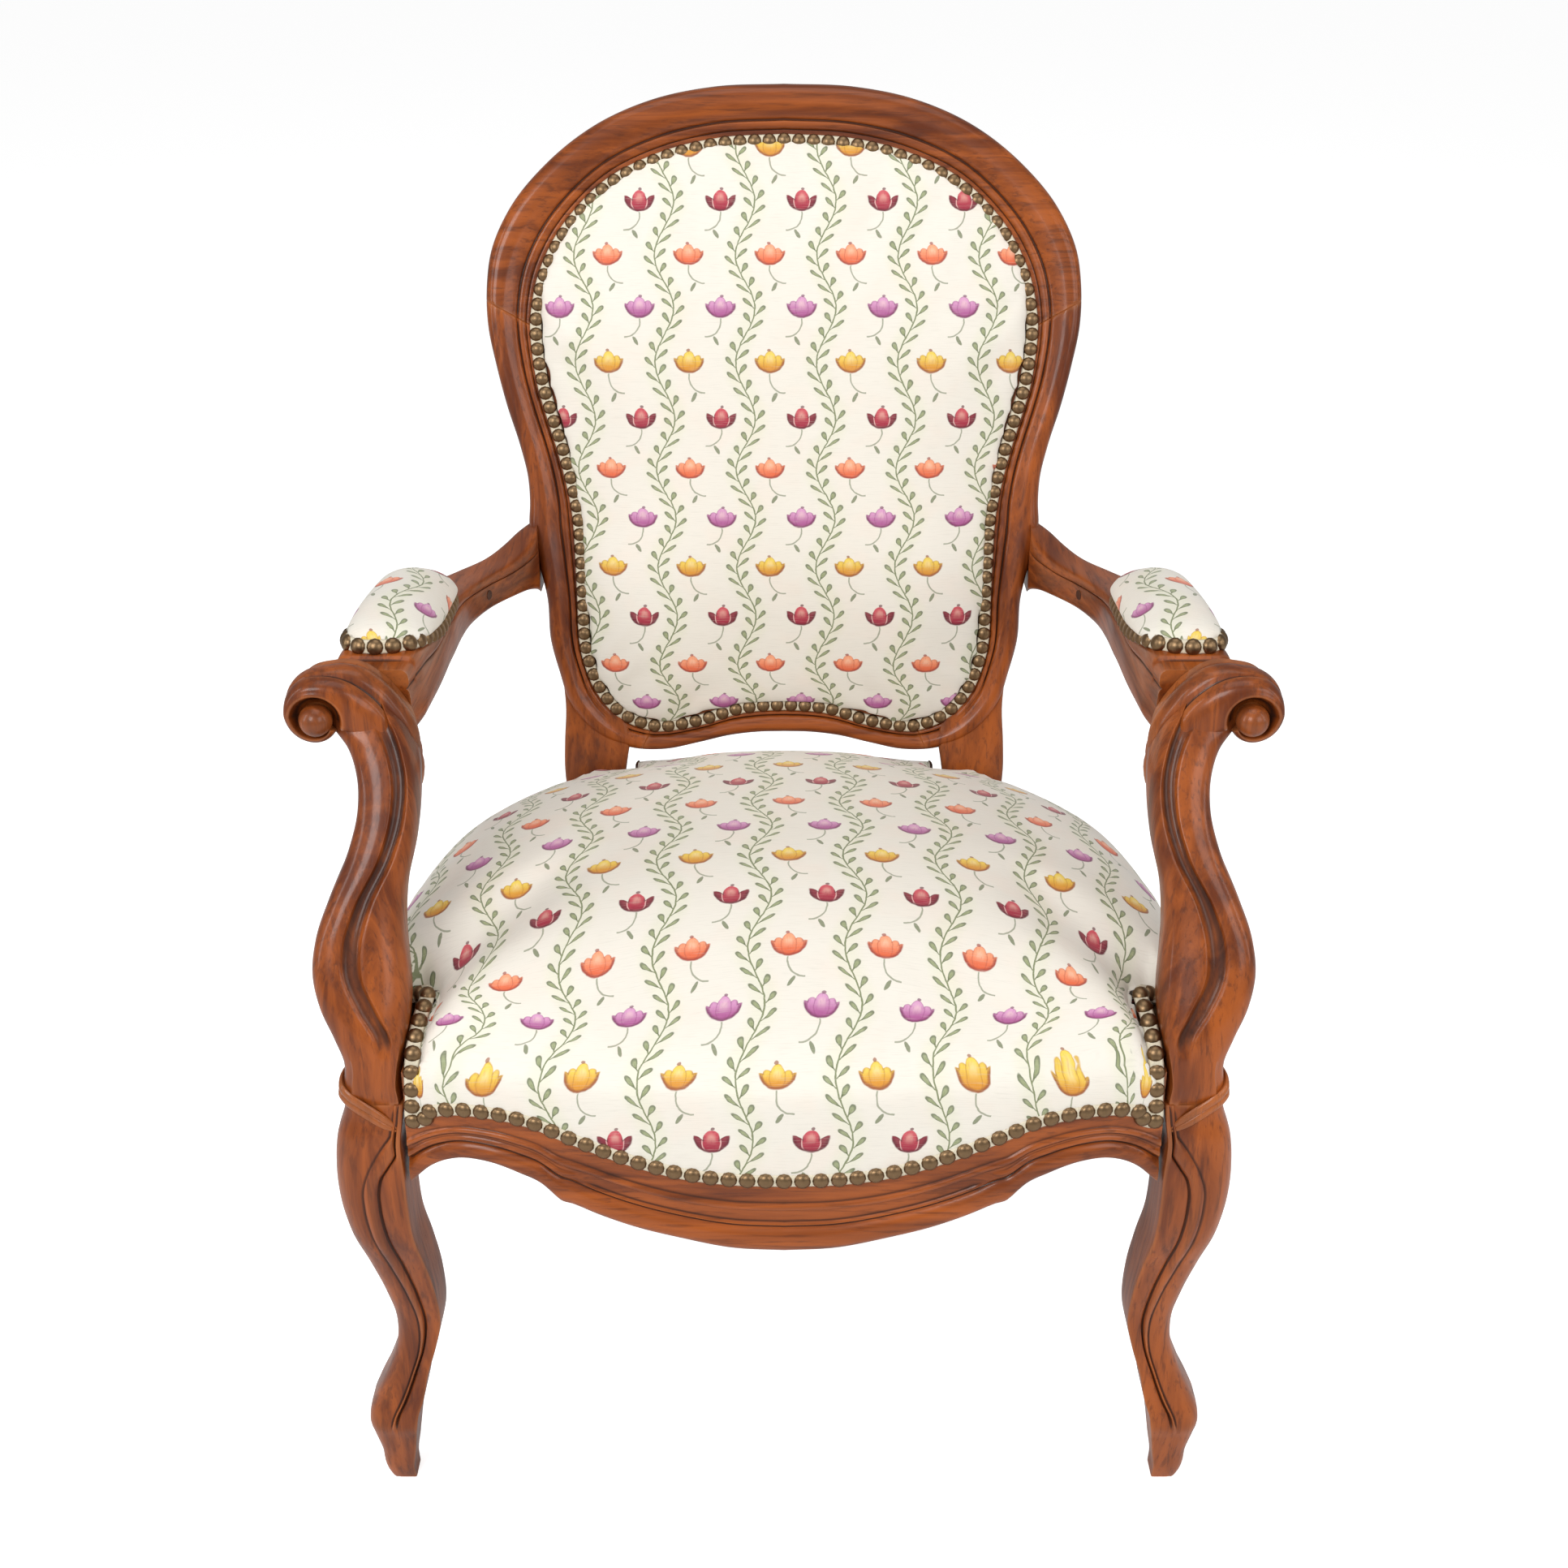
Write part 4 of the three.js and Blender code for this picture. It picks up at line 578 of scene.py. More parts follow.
def collar_rings(lift):
    rows = trace(COLLAR, 2.5)
    rings = []
    for i, (x, y, z, size) in enumerate(rows):
        b, a = rows[max(i - 1, 0)], rows[min(i + 1, len(rows) - 1)]
        tangent = Vector((a[0] - b[0], a[1] - b[1], a[2] - b[2])).normalized()
        out = Vector((x + 280, y + 288, 0)).normalized()
        up = tangent.cross(out).normalized()
        up = up if up.z > 0 else -up
        centre = Vector((x, y, z)) + up * (lift * size)
        ring = []
        for turn in range(10):
            angle = 2 * pi * turn / 10
            place = centre + up * (1.2 * size * cos(angle)) + out * (size * 0.8 * sin(angle) - 1.2)
            ring.append(at(*place))
        rings.append(ring)
    return rings


# Arms: place forwards, sway outwards, rise, width, height and turn of each section.
ARM = [
    (0, 0, 0, 0.66, 1.35, 1), (0.036, 0.14, 0.03, 0.64, 1.09, 0.67), (0.089, 0.28, 0.06, 0.6, 0.83, 0.44),
    (0.161, 0.5, 0.09, 0.59, 0.67, 0.36), (0.245, 0.82, 0.16, 0.63, 0.65, 0.27),
    (0.339, 1, 0.28, 0.71, 0.72, 0.18), (0.466, 1, 0.5, 0.86, 0.87, 0.09),
    (0.609, 0.81, 0.72, 0.96, 0.96, 0.03), (0.753, 0.52, 0.84, 1, 1, 0.01),
    (0.883, 0.26, 0.94, 1, 1, 0), (1, 0, 1, 0.95, 1, 0),
]
ARM_REAR = (-213.33, 226.1, 561)
ARM_FRONT = (-283, -169, 593)
ARM_SECTION = [
    (0, -1), (0.45, -1), (0.72, -0.97), (0.88, -0.88), (0.96, -0.72), (0.99, -0.45), (1, -0.1),
    (0.995, 0.2), (0.985, 0.36), (0.955, 0.44), (0.90, 0.475), (0.955, 0.52), (0.985, 0.62),
    (0.97, 0.76), (0.90, 0.88), (0.76, 0.96), (0.5, 1), (0, 1.0),
]
ARM_SWAY = 31.4
ARM_HALF_WIDTH = 28
ARM_HALF_HEIGHT = 23
ARM_LIFT = 11
ARM_RINGS = 260
arm_table = spline(ARM)


def arm_station(forward):
    """Centre, outward direction, half width and half height of the arm at a place along it."""
    sway, rise, width, height, turn = arm_table(forward)
    x = mix(ARM_REAR[0], ARM_FRONT[0], forward) - ARM_SWAY * sway
    y = mix(ARM_REAR[1], ARM_FRONT[1], forward)
    z = mix(ARM_REAR[2], ARM_FRONT[2], rise)
    angle = pi / 2 * turn
    return (x, y, z), (-cos(angle), sin(angle)), ARM_HALF_WIDTH * width, ARM_HALF_HEIGHT * height


def arm_lift(forward):
    """How much higher the arm's upper side stands towards the scroll."""
    return ARM_LIFT * step(0.74, 0.93, forward)


def arm_rings():
    half = dense(ARM_SECTION, 2)
    ring_shape = half + [(-a, b) for a, b in reversed(half[1:-1])]
    rings = []
    for i in range(ARM_RINGS + 1):
        forward = i / ARM_RINGS
        (x, y, z), (ox, oy), wide, tall = arm_station(forward)
        soft = step(0.9, 0.96, forward) * 0.06
        ring = []
        for a, b in ring_shape:
            b = min(b, 1 - soft)
            # a step down to the block behind the scroll, and an inner side that swells in the middle
            drop = 2.6 * step(0.948, 0.956, forward) * step(0.3, 0.7, b)
            out = a * (1 + 0.10 * step(0, -0.5, a) * step(0.4, 0.6, forward) * step(1.0, 0.9, forward))
            rise = tall * b + arm_lift(forward) * step(0.1, 0.8, b) - drop
            ring.append(at(x + ox * wide * out, y + oy * wide * out, z + rise))
        rings.append(ring)
    return rings


# Materials

class Graph:
    """Short names for the nodes of one tree."""

    def __init__(self, tree):
        self.tree = tree

    def node(self, kind, *inputs, **settings):
        made = self.tree.nodes.new(kind)
        for name, value in settings.items():
            setattr(made, name, value)
        for socket, value in zip(made.inputs, inputs):
            self.feed(socket, value)
        return made

    def feed(self, socket, value):
        if value is None:
            return
        if isinstance(value, bpy.types.NodeSocket):
            self.tree.links.new(value, socket)
        else:
            socket.default_value = value

    def math(self, operation, *values):
        return self.node("ShaderNodeMath", *values, operation=operation).outputs[0]

    def vector(self, operation, *values):
        made = self.node("ShaderNodeVectorMath", *values, operation=operation)
        return made.outputs["Value"] if operation in ("LENGTH", "DISTANCE", "DOT_PRODUCT") else made.outputs[0]

    def blend(self, share, a, b):
        made = self.tree.nodes.new("ShaderNodeMix")
        made.data_type = "RGBA"
        self.feed(made.inputs["Factor"], share)
        self.feed(made.inputs[6], a)
        self.feed(made.inputs[7], b)
        return made.outputs[2]

    def rise(self, value, low, high):
        """A smooth step from 0 at low to 1 at high."""
        return self.node("ShaderNodeMapRange", value, low, high, interpolation_type="SMOOTHSTEP").outputs[0]

    def noise(self, place, scale, detail=3.0, rough=0.5, warp=0.0):
        made = self.tree.nodes.new("ShaderNodeTexNoise")
        self.feed(made.inputs["Vector"], place)
        for name, value in (("Scale", scale), ("Detail", detail), ("Roughness", rough), ("Distortion", warp)):
            made.inputs[name].default_value = value
        return made.outputs["Fac"]

    def mapping(self, place, location=(0, 0, 0), rotation=(0, 0, 0), scale=(1, 1, 1), kind="POINT"):
        made = self.tree.nodes.new("ShaderNodeMapping")
        made.vector_type = kind
        self.feed(made.inputs["Vector"], place)
        made.inputs["Location"].default_value = location
        made.inputs["Rotation"].default_value = rotation
        made.inputs["Scale"].default_value = scale
        return made.outputs[0]


def group(name, inputs, outputs):
    """An empty shader node group with its named sockets: (name, kind, default)."""
    tree = bpy.data.node_groups.new(name, "ShaderNodeTree")
    for label, kind, default in inputs:
        socket = tree.interface.new_socket(label, in_out="INPUT", socket_type=kind)
        if default is not None:
            socket.default_value = default
    for label, kind in outputs:
        tree.interface.new_socket(label, in_out="OUTPUT", socket_type=kind)
    graph = Graph(tree)
    start = tree.nodes.new("NodeGroupInput")
    end = tree.nodes.new("NodeGroupOutput")
    return graph, start.outputs, end.inputs


def grain_group():
    """Straight walnut grain: darker streaks, broad tone, hollows darkened by painted shade, and lighter edges."""
    g, given, out = group(
        "Walnut Grain",
        [("Place", "NodeSocketVector", None), ("Hollow", "NodeSocketFloat", 0.5),
         ("Light", "NodeSocketColor", (0.5, 0.2, 0.1, 1)), ("Dark", "NodeSocketColor", (0.2, 0.08, 0.03, 1))],
        [("Color", "NodeSocketColor"), ("Roughness", "NodeSocketFloat"), ("Height", "NodeSocketFloat")])
    place = given["Place"]
    broad = g.noise(place, 14.0, 3.0, 0.55, 0.6)
    fine = g.noise(place, 330.0, 4.0, 0.62, 0.3)
    bands = g.noise(place, 70.0, 4.0, 0.6, 0.9)
    tone = g.math("ADD", g.math("MULTIPLY", broad, 0.55), g.math("MULTIPLY", bands, 0.45))
    wood = g.blend(g.rise(tone, 0.36, 0.62), given["Dark"], given["Light"])
    streak = g.rise(fine, 0.5, 0.68)
    wood = g.blend(g.math("MULTIPLY", streak, 0.5), wood, g.blend(0.62, given["Dark"], (0.035, 0.012, 0.006, 1)))
    # painted shade: the carving's hollows are darkened nearly to black, standing for the shade that falls in them as
    # well as the wax and dirt that gather there
    deep = g.rise(given["Hollow"], 0.475, 0.34)
    wood = g.blend(g.math("MULTIPLY", deep, 0.82), wood, (0.022, 0.0065, 0.003, 1))
    worn = g.rise(given["Hollow"], 0.58, 0.86)
    wood = g.blend(g.math("MULTIPLY", worn, 0.35), wood, g.blend(0.5, given["Light"], (0.62, 0.26, 0.10, 1)))
    g.feed(out["Color"], wood)
    rough = g.math("ADD", 0.30, g.math("MULTIPLY", fine, 0.16))
    g.feed(out["Roughness"], g.math("ADD", rough, g.math("MULTIPLY", deep, 0.25)))
    g.feed(out["Height"], g.math("SUBTRACT", g.math("MULTIPLY", broad, 0.25), g.math("MULTIPLY", streak, 0.6)))
    return g.tree


def new_material(name):
    material = bpy.data.materials.new(name)
    material.use_nodes = True
    tree = material.node_tree
    tree.nodes.clear()
    shader = tree.nodes.new("ShaderNodeBsdfPrincipled")
    end = tree.nodes.new("ShaderNodeOutputMaterial")
    tree.links.new(shader.outputs[0], end.inputs[0])
    return material, Graph(tree), shader


def place_group(g, tree, **values):
    made = g.tree.nodes.new("ShaderNodeGroup")
    made.node_tree = tree
    for name, value in values.items():
        g.feed(made.inputs[name], value)
    return made.outputs


def bump(g, height, strength, distance):
    made = g.tree.nodes.new("ShaderNodeBump")
    made.inputs["Strength"].default_value = strength
    made.inputs["Distance"].default_value = distance
    g.feed(made.inputs["Height"], height)
    return made.outputs[0]


MATERIALS = {}
# Bump's distance on the wood and on plain finishes, in metres.
GRAIN_DEPTH = 0.0004


def walnut(axis):
    """Polished walnut with its grain along one axis."""
    key = "walnut_" + axis
    if key in MATERIALS:
        return MATERIALS[key]
    colours = bpy.context.scene.chair_colours
    tree = bpy.data.node_groups.get("Walnut Grain") or grain_group()
    material, g, shader = new_material(key)
    place = g.tree.nodes.new("ShaderNodeTexCoord").outputs["Object"]
    scale = {"x": (0.06, 1, 1), "y": (1, 0.06, 1), "z": (1, 1, 0.06)}[axis]
    place = g.mapping(place, location=(0.37, 0.11, 0.23), scale=scale)
    hollow = g.tree.nodes.new("ShaderNodeAttribute")
    hollow.attribute_name = "hollow"
    grain = place_group(g, tree, Place=place, Hollow=hollow.outputs["Fac"],
                        Light=(*colours.wood_light, 1), Dark=(*colours.wood_dark, 1))
    g.feed(shader.inputs["Base Color"], grain["Color"])
    g.feed(shader.inputs["Roughness"], grain["Roughness"])
    g.feed(shader.inputs["Normal"], bump(g, grain["Height"], 0.25, GRAIN_DEPTH))
    shader.inputs["Coat Weight"].default_value = 0.24
    shader.inputs["Coat Roughness"].default_value = 0.14
    shader.inputs["Specular IOR Level"].default_value = 0.22
    MATERIALS[key] = material
    return material


def plain_material(key, colour, roughness, metallic=0.0, scale=400.0):
    if key in MATERIALS:
        return MATERIALS[key]
    material, g, shader = new_material(key)
    place = g.tree.nodes.new("ShaderNodeTexCoord").outputs["Object"]
    spots = g.noise(place, scale, 3.0)
    dark = tuple(c * 0.7 for c in colour)
    g.feed(shader.inputs["Base Color"], g.blend(spots, (*dark, 1), (*colour, 1)))
    shader.inputs["Roughness"].default_value = roughness
    shader.inputs["Metallic"].default_value = metallic
    g.feed(shader.inputs["Normal"], bump(g, spots, 0.2, GRAIN_DEPTH))
    MATERIALS[key] = material
    return material


def printed_group():
    """A printed sprig and vine on a satin ground, from a place on the cloth in metres."""
    g, given, out = group(
        "Printed Cover",
        [("Place", "NodeSocketVector", None), ("Ground", "NodeSocketColor", (*COVER_GROUND, 1))],
        [("Color", "NodeSocketColor"), ("Print", "NodeSocketFloat"), ("Height", "NodeSocketFloat")])
    m = g.math
    raw = given["Place"]
    # the hand of the print: lines wander by a few tenths of a millimetre
    wander = g.tree.nodes.new("ShaderNodeTexNoise")
    g.feed(wander.inputs["Vector"], raw)
    wander.inputs["Scale"].default_value = 160
    wander.inputs["Detail"].default_value = 2
    offset = g.vector("SCALE", g.vector("SUBTRACT", wander.outputs["Color"], (0.5, 0.5, 0.5)))
    offset.node.inputs["Scale"].default_value = 0.0016
    moved = g.vector("ADD", raw, offset)
    parts = g.node("ShaderNodeSeparateXYZ", moved)
    u = m("MULTIPLY", parts.outputs[0], 1000.0)
    v = m("MULTIPLY", parts.outputs[1], 1000.0)

    def fold(value, period):
        """Distance from the nearest repeat, and the number of that repeat."""
        turns = m("DIVIDE", value, period)
        number = m("ROUND", turns)
        return m("MULTIPLY", m("SUBTRACT", turns, number), period), number

    across, _ = fold(u, COLUMN)
    right = m("GREATER_THAN", across, 0.0)

    def ellipse(x, y, cx, cy, rx, ry, turn=0.0):
        """1 at the edge of an ellipse and less inside it."""
        place = g.node("ShaderNodeCombineXYZ", x, y, 0.0).outputs[0]
        local = g.mapping(place, (cx, cy, 0), (0, 0, radians(turn)), (rx, ry, 1), "TEXTURE")
        return g.vector("LENGTH", local)

    def inside(value, soft):
        return g.rise(value, 1 + soft, 1 - soft)

    # flowers: each leans away from its vine, on either side of it
    fx = m("SUBTRACT", 20.6, m("ABSOLUTE", across))
    shifted = m("SUBTRACT", v, m("MULTIPLY", right, ROW))
    fy, number = fold(shifted, 2 * ROW)
    odd = m("ABSOLUTE", m("MODULO", number, 2.0))
    mauve = m("MULTIPLY", odd, m("SUBTRACT", 1.0, right))
    red = m("MULTIPLY", m("SUBTRACT", 1.0, odd), m("SUBTRACT", 1.0, right))
    orange = m("MULTIPLY", odd, right)

    def pick(red_colour, yellow_colour, mauve_colour, orange_colour):
        colour = g.blend(red, (*yellow_colour, 1), (*red_colour, 1))
        colour = g.blend(mauve, colour, (*mauve_colour, 1))
        return g.blend(orange, colour, (*orange_colour, 1))

    light = pick((0.60, 0.075, 0.10), (0.84, 0.62, 0.09), (0.68, 0.33, 0.55), (0.90, 0.36, 0.19))
    deep = pick((0.34, 0.014, 0.04), (0.66, 0.27, 0.02), (0.40, 0.09, 0.27), (0.74, 0.13, 0.045))
    rim = pick((0.13, 0.010, 0.022), (0.30, 0.085, 0.025), (0.19, 0.035, 0.11), (0.34, 0.05, 0.03))

    ground = given["Ground"]
    tint = g.noise(raw, 26.0, 2.0)
    ground = g.blend(m("MULTIPLY", g.rise(tint, 0.45, 0.7), 0.35), ground, (0.84, 0.72, 0.62, 1))
    wave = m("MULTIPLY", m("COSINE", m("MULTIPLY", v, pi / ROW)), 8.0)
    off = m("SUBTRACT", across, wave)
    away = m("ABSOLUTE", off)
    haze = m("MULTIPLY", g.rise(away, 15.0, 4.0), 0.24)
    colour = g.blend(haze, ground, (0.66, 0.70, 0.44, 1))

    # leaves in two rows beside the vine, every other one lifted by half a step
    twig = m("GREATER_THAN", off, 0.0)
    lifted = m("SUBTRACT", v, m("MULTIPLY", twig, LEAF_STEP / 2))
    steps = m("DIVIDE", lifted, LEAF_STEP)
    number = m("FLOOR", steps)
    ly = m("SUBTRACT", m("MULTIPLY", m("SUBTRACT", steps, number), LEAF_STEP), 1.2)
    place = g.node("ShaderNodeCombineXYZ", away, ly, 0.0).outputs[0]
    leaf = g.mapping(place, (5.3, 5.2, 0), (0, 0, radians(47)), (1, 1, 1), "TEXTURE")
    leaf_parts = g.node("ShaderNodeSeparateXYZ", leaf)
    along = m("DIVIDE", leaf_parts.outputs[0], 5.1)
    wide = m("MULTIPLY", m("ADD", m("MULTIPLY", along, 0.5), 1.0), 1.7)
    body = m("SQRT", m("ADD", m("POWER", along, 2.0), m("POWER", m("DIVIDE", leaf_parts.outputs[1], wide), 2.0)))
    leaf_colour = g.blend(g.rise(body, 0.35, 0.95), (0.29, 0.33, 0.16, 1), (0.10, 0.125, 0.05, 1))
    stalk = g.rise(m("ABSOLUTE", leaf_parts.outputs[1]), 0.62, 0.25)
    stalk = m("MULTIPLY", stalk, m("MULTIPLY", g.rise(along, 0.3, 0.0), g.rise(along, -1.5, -1.3)))
    stem = g.rise(away, 0.8, 0.4)
    green = m("MAXIMUM", m("MULTIPLY", stalk, 0.9), m("MULTIPLY", stem, 0.95))
    colour = g.blend(green, colour, (0.18, 0.21, 0.09, 1))
    leaf_mask = inside(body, 0.1)
    colour = g.blend(m("MULTIPLY", leaf_mask, 0.9), colour, leaf_colour)
    printed = m("MAXIMUM", green, leaf_mask)

    # stem of a flower and its hanging leaf
    curl = ellipse(fx, fy, -12.4, -11.2, 12.6, 13.6)
    arc = g.rise(m("ABSOLUTE", m("SUBTRACT", curl, 1.0)), 0.065, 0.03)
    below = m("MULTIPLY", g.rise(fy, -8.5, -9.5), g.rise(fx, -20.0, -18.5))
    arc = m("MULTIPLY", arc, m("MULTIPLY", below, g.rise(fx, 3.0, 2.0)))
    hang = ellipse(fx, fy, -3.9, -28.2, 1.5, 4.3, 28.0)
    twig_mask = m("MAXIMUM", m("MULTIPLY", arc, 0.8), inside(hang, 0.12))
    colour = g.blend(m("MULTIPLY", twig_mask, 0.85), colour, (0.15, 0.18, 0.08, 1))

    # petals in a round bowl
    bowl = ellipse(fx, fy, 0, 3.6, 12.7, 12.2)
    middle = ellipse(fx, fy, 0, 0.6, 5.4, 9.4)
    inner = m("MINIMUM", ellipse(fx, fy, -4.9, -1.6, 4.6, 8.4, 24), ellipse(fx, fy, 4.9, -1.6, 4.6, 8.4, -24))
    outer = m("MINIMUM", ellipse(fx, fy, -8.4, -3.0, 3.6, 8.2, 36), ellipse(fx, fy, 8.4, -3.0, 3.6, 8.2, -36))
    cup = m("MAXIMUM", bowl, m("MINIMUM", m("MINIMUM", middle, inner), outer))
    # the red one: an egg between two dark petals
    egg = ellipse(fx, fy, 0, 0.2, 6.3, 9.4)
    wings = m("MINIMUM", ellipse(fx, fy, -8.2, -2.2, 4.2, 8.6, 36), ellipse(fx, fy, 8.2, -2.2, 4.2, 8.6, -36))
    shape = g.node("ShaderNodeMix", None, None, data_type="FLOAT")
    g.feed(shape.inputs[0], red)
    g.feed(shape.inputs[2], cup)
    g.feed(shape.inputs[3], m("MAXIMUM", bowl, m("MINIMUM", egg, wings)))
    flower = inside(shape.outputs[0], 0.05)
    tall = g.rise(fy, -6.0, 7.5)
    petals = g.blend(tall, deep, light)
    gap = g.rise(m("ABSOLUTE", m("SUBTRACT", middle, 1.0)), 0.12, 0.02)
    gap = m("MAXIMUM", gap, m("MULTIPLY", g.rise(m("ABSOLUTE", m("SUBTRACT", inner, 1.0)), 0.10, 0.02),
                               g.rise(middle, 0.9, 1.1)))
    petals = g.blend(m("MULTIPLY", m("MULTIPLY", gap, 0.5), m("SUBTRACT", 1.0, red)), petals,
                     g.blend(0.55, deep, rim))
    lit = m("MULTIPLY", g.rise(middle, 0.85, 0.3), g.rise(fy, -3.0, 6.0))
    petals = g.blend(m("MULTIPLY", lit, 0.35), petals, (0.95, 0.82, 0.62, 1))
    wing_only = m("MULTIPLY", red, g.rise(egg, 0.96, 1.06))
    petals = g.blend(m("MULTIPLY", wing_only, 0.7), petals, rim)
    egg_gap = m("MULTIPLY", red, g.rise(m("ABSOLUTE", m("SUBTRACT", egg, 1.06)), 0.10, 0.03))
    petals = g.blend(m("MULTIPLY", egg_gap, 0.75), petals, (0.85, 0.52, 0.48, 1))
    edge = m("MULTIPLY", g.rise(shape.outputs[0], 0.76, 0.94), g.rise(fy, 7.0, 0.5))
    petals = g.blend(m("MULTIPLY", edge, 0.95), petals, rim)
    veins = g.noise(g.mapping(raw, scale=(1100, 200, 1)), 1.0, 2.0)
    petals = g.blend(m("MULTIPLY", g.rise(veins, 0.5, 0.75), 0.3), petals, g.blend(0.5, deep, rim))
    colour = g.blend(flower, colour, petals)
    bud = inside(ellipse(fx, fy, 0.8, 10.6, 1.5, 1.2), 0.2)
    colour = g.blend(m("MULTIPLY", bud, 0.8), colour, rim)
    printed = m("MAXIMUM", m("MAXIMUM", printed, flower), twig_mask)

    # satin weave: fine threads across and along, with a slub here and there
    weft = m("SINE", m("MULTIPLY", v, 2 * pi / 0.55))
    warp = m("SINE", m("MULTIPLY", u, 2 * pi / 0.5))
    slubs = g.noise(g.mapping(raw, scale=(60, 1400, 1)), 1.0, 3.0)
    threads = m("ADD", m("MULTIPLY", m("MULTIPLY", weft, warp), 0.25), m("MULTIPLY", slubs, 0.9))
    colour = g.blend(m("MULTIPLY", g.rise(slubs, 0.5, 0.72), 0.24), colour, (0.58, 0.54, 0.46, 1))
    g.feed(out["Color"], colour)
    g.feed(out["Print"], printed)
    g.feed(out["Height"], m("ADD", threads, m("MULTIPLY", printed, 0.35)))
    return g.tree


# Repeat of the print in millimetres: from one vine to the next, from one row of flowers to the
# next, and from one leaf to the next on the same side.
COLUMN = 68.0
ROW = 46.8
LEAF_STEP = 12.6
COVER_GROUND = (0.80, 0.755, 0.67)


def cover_material(name, shift):
    """The printed cover, its repeat moved by a shift in millimetres."""
    if name in MATERIALS:
        return MATERIALS[name]
    tree = bpy.data.node_groups.get("Printed Cover") or printed_group()
    material, g, shader = new_material(name)
    cloth = g.tree.nodes.new("ShaderNodeUVMap")
    cloth.uv_map = "cloth"
    place = g.mapping(cloth.outputs[0], location=(shift[0] / 1000, shift[1] / 1000, 0))
    printed = place_group(g, tree, Place=place, Ground=(*COVER_GROUND, 1))
    g.feed(shader.inputs["Base Color"], printed["Color"])
    g.feed(shader.inputs["Roughness"], g.math("ADD", 0.5, g.math("MULTIPLY", printed["Print"], 0.12)))
    g.feed(shader.inputs["Normal"], bump(g, printed["Height"], 0.30, 0.0003))
    shader.inputs["Sheen Weight"].default_value = 0.25
    shader.inputs["Sheen Roughness"].default_value = 0.4
    MATERIALS[name] = material
    return material


# Shift of the print on each covered part, so that its vines and rows fall where they should.
SEAT_PRINT = (25.0, 0.0)
BACK_PRINT = (32.5, 53.0)
ARM_PRINT = (0.0, 0.0)


def lay_cloth(made, places_to_cloth):
    """Stores where each corner of a mesh lies on the flat cloth, in metres."""
    mesh = made.data
    cloth = places_to_cloth(vertex_places(mesh))
    layer = mesh.uv_layers.new(name="cloth")
    corners = np.empty(len(mesh.loops), np.int64)
    mesh.loops.foreach_get("vertex_index", corners)
    layer.data.foreach_set("uv", cloth[corners].astype(np.float32).ravel())


# How far up the cloth each place of the seat's middle lies: by height on its front wall, and from
# front to rear on its top.
WALL_CLOTH = [(290, -62), (340, -15), (355.4, 0), (390, 33.5), (405, 46.8), (440, 76), (480, 110)]
TOP_CLOTH = [
    (-345, 37), (-335, 46.8), (-291.3, 93.6), (-246.9, 140.4), (-200.4, 187.2), (-152.4, 234), (-104.3, 280.8),
    (-56.3, 327.6), (-8.7, 374.4), (71, 456), (130, 522), (210, 616),
]
# How much longer the cloth is than it looks from above, towards a side: by the draw from it.
SIDE_CLOTH = [(0, 74), (7, 58), (13, 48), (21, 41), (33, 33), (50, 26), (80, 15), (120, 7), (180, 2), (250, 0)]


def seat_cloth(tree, data):
    """How the cover lies over the seat: along its top, over its edges and down its walls."""
    wall, top, side = spline(WALL_CLOTH), spline(TOP_CLOTH), spline(SIDE_CLOTH)

    def lay(places):
        cloth = np.empty((len(places), 2))
        for i, place in enumerate(places):
            x, y, z = from_frame(place)
            _, near, gap = tree.find((x, y, 0))
            nx, ny = data[near][3:]
            reach = hypot(x, y - SEAT_CENTRE_Y) or 1
            sideways = x / reach if gap > 20 else mix(nx, x / reach, gap / 20)
            longer = side(gap)[0] * abs(sideways) ** 1.5
            if gap < 7:
                longer = max(longer, (74 + max(0, rail_top(y) - z)) * abs(sideways) ** 1.5)
            front = y - front_face(min(abs(x), 258))
            near_front = 1 - step(5, 60, front)
            bow = front_face(min(abs(x), 258)) + 340
            bend = 42 * (x / 237) ** 2 * mix(1, 0.6, step(-290, -195, y))
            on_top = top(y - bow * near_front + bend * (1 - near_front) - 0.02 * x)[0]
            on_wall = wall(z + 15 * (x / 204) ** 2 + 2 * min(1, (x / 204) ** 4))[0]
            up = mix(on_wall, on_top, step(3, 15, front))
            if ny > 0 and gap < 14:
                up += ny * max(0, rail_top(y) + 22 - z)
            shift = 4 * (1 - step(0, 46.8, up)) - 8 * step(46.8, 150, up)
            cloth[i] = (x + shift + (longer if sideways > 0 else -longer), up)
        return cloth / 1000
    return lay


# How far up the cloth each place of the back lies, by its place up the slope.
BACK_CLOTH = [
    (0, -60), (60, 22), (73.4, 40.6), (108, 87.4), (151, 134.2), (194.1, 181), (236.2, 227.8), (277.9, 274.6),
    (320, 321.4), (366.8, 368.2), (411.7, 415), (454.6, 461.8), (498.9, 508.6), (560, 573), (620, 640),
]


def back_cloth(places):
    """How the cover lies on the back: straight across and up its slope."""
    rise = spline(BACK_CLOTH)
    y = places[:, 1] - DATUM_Y - 0.170
    z = places[:, 2] - BACK_BASE / 1000
    slope = (z * cos(RECLINE) + y * sin(RECLINE)) * 1000
    up = np.array([rise(min(max(a, 0), 620))[0] for a in slope]) / 1000
    return np.stack([places[:, 0], up], axis=1)


def arm_cloth(places):
    """How the cover lies on an arm pad: along the arm, and over its sides."""
    y = places[:, 1] - DATUM_Y
    side = np.abs(places[:, 0])
    top = places[:, 2].max()
    drop = np.maximum(0, top - places[:, 2] - 0.004)
    middle = 0.5 * (side.max() + side.min())
    return np.stack([side + np.sign(side - middle) * drop, y], axis=1)


# Padding

PRESSURE = 3.0
FRAMES = 20
PAD_HEIGHT = 34
PAD_SWELL = 8
STRAP_WIDTH = 0.05
CLOTH_GRID = 0.014


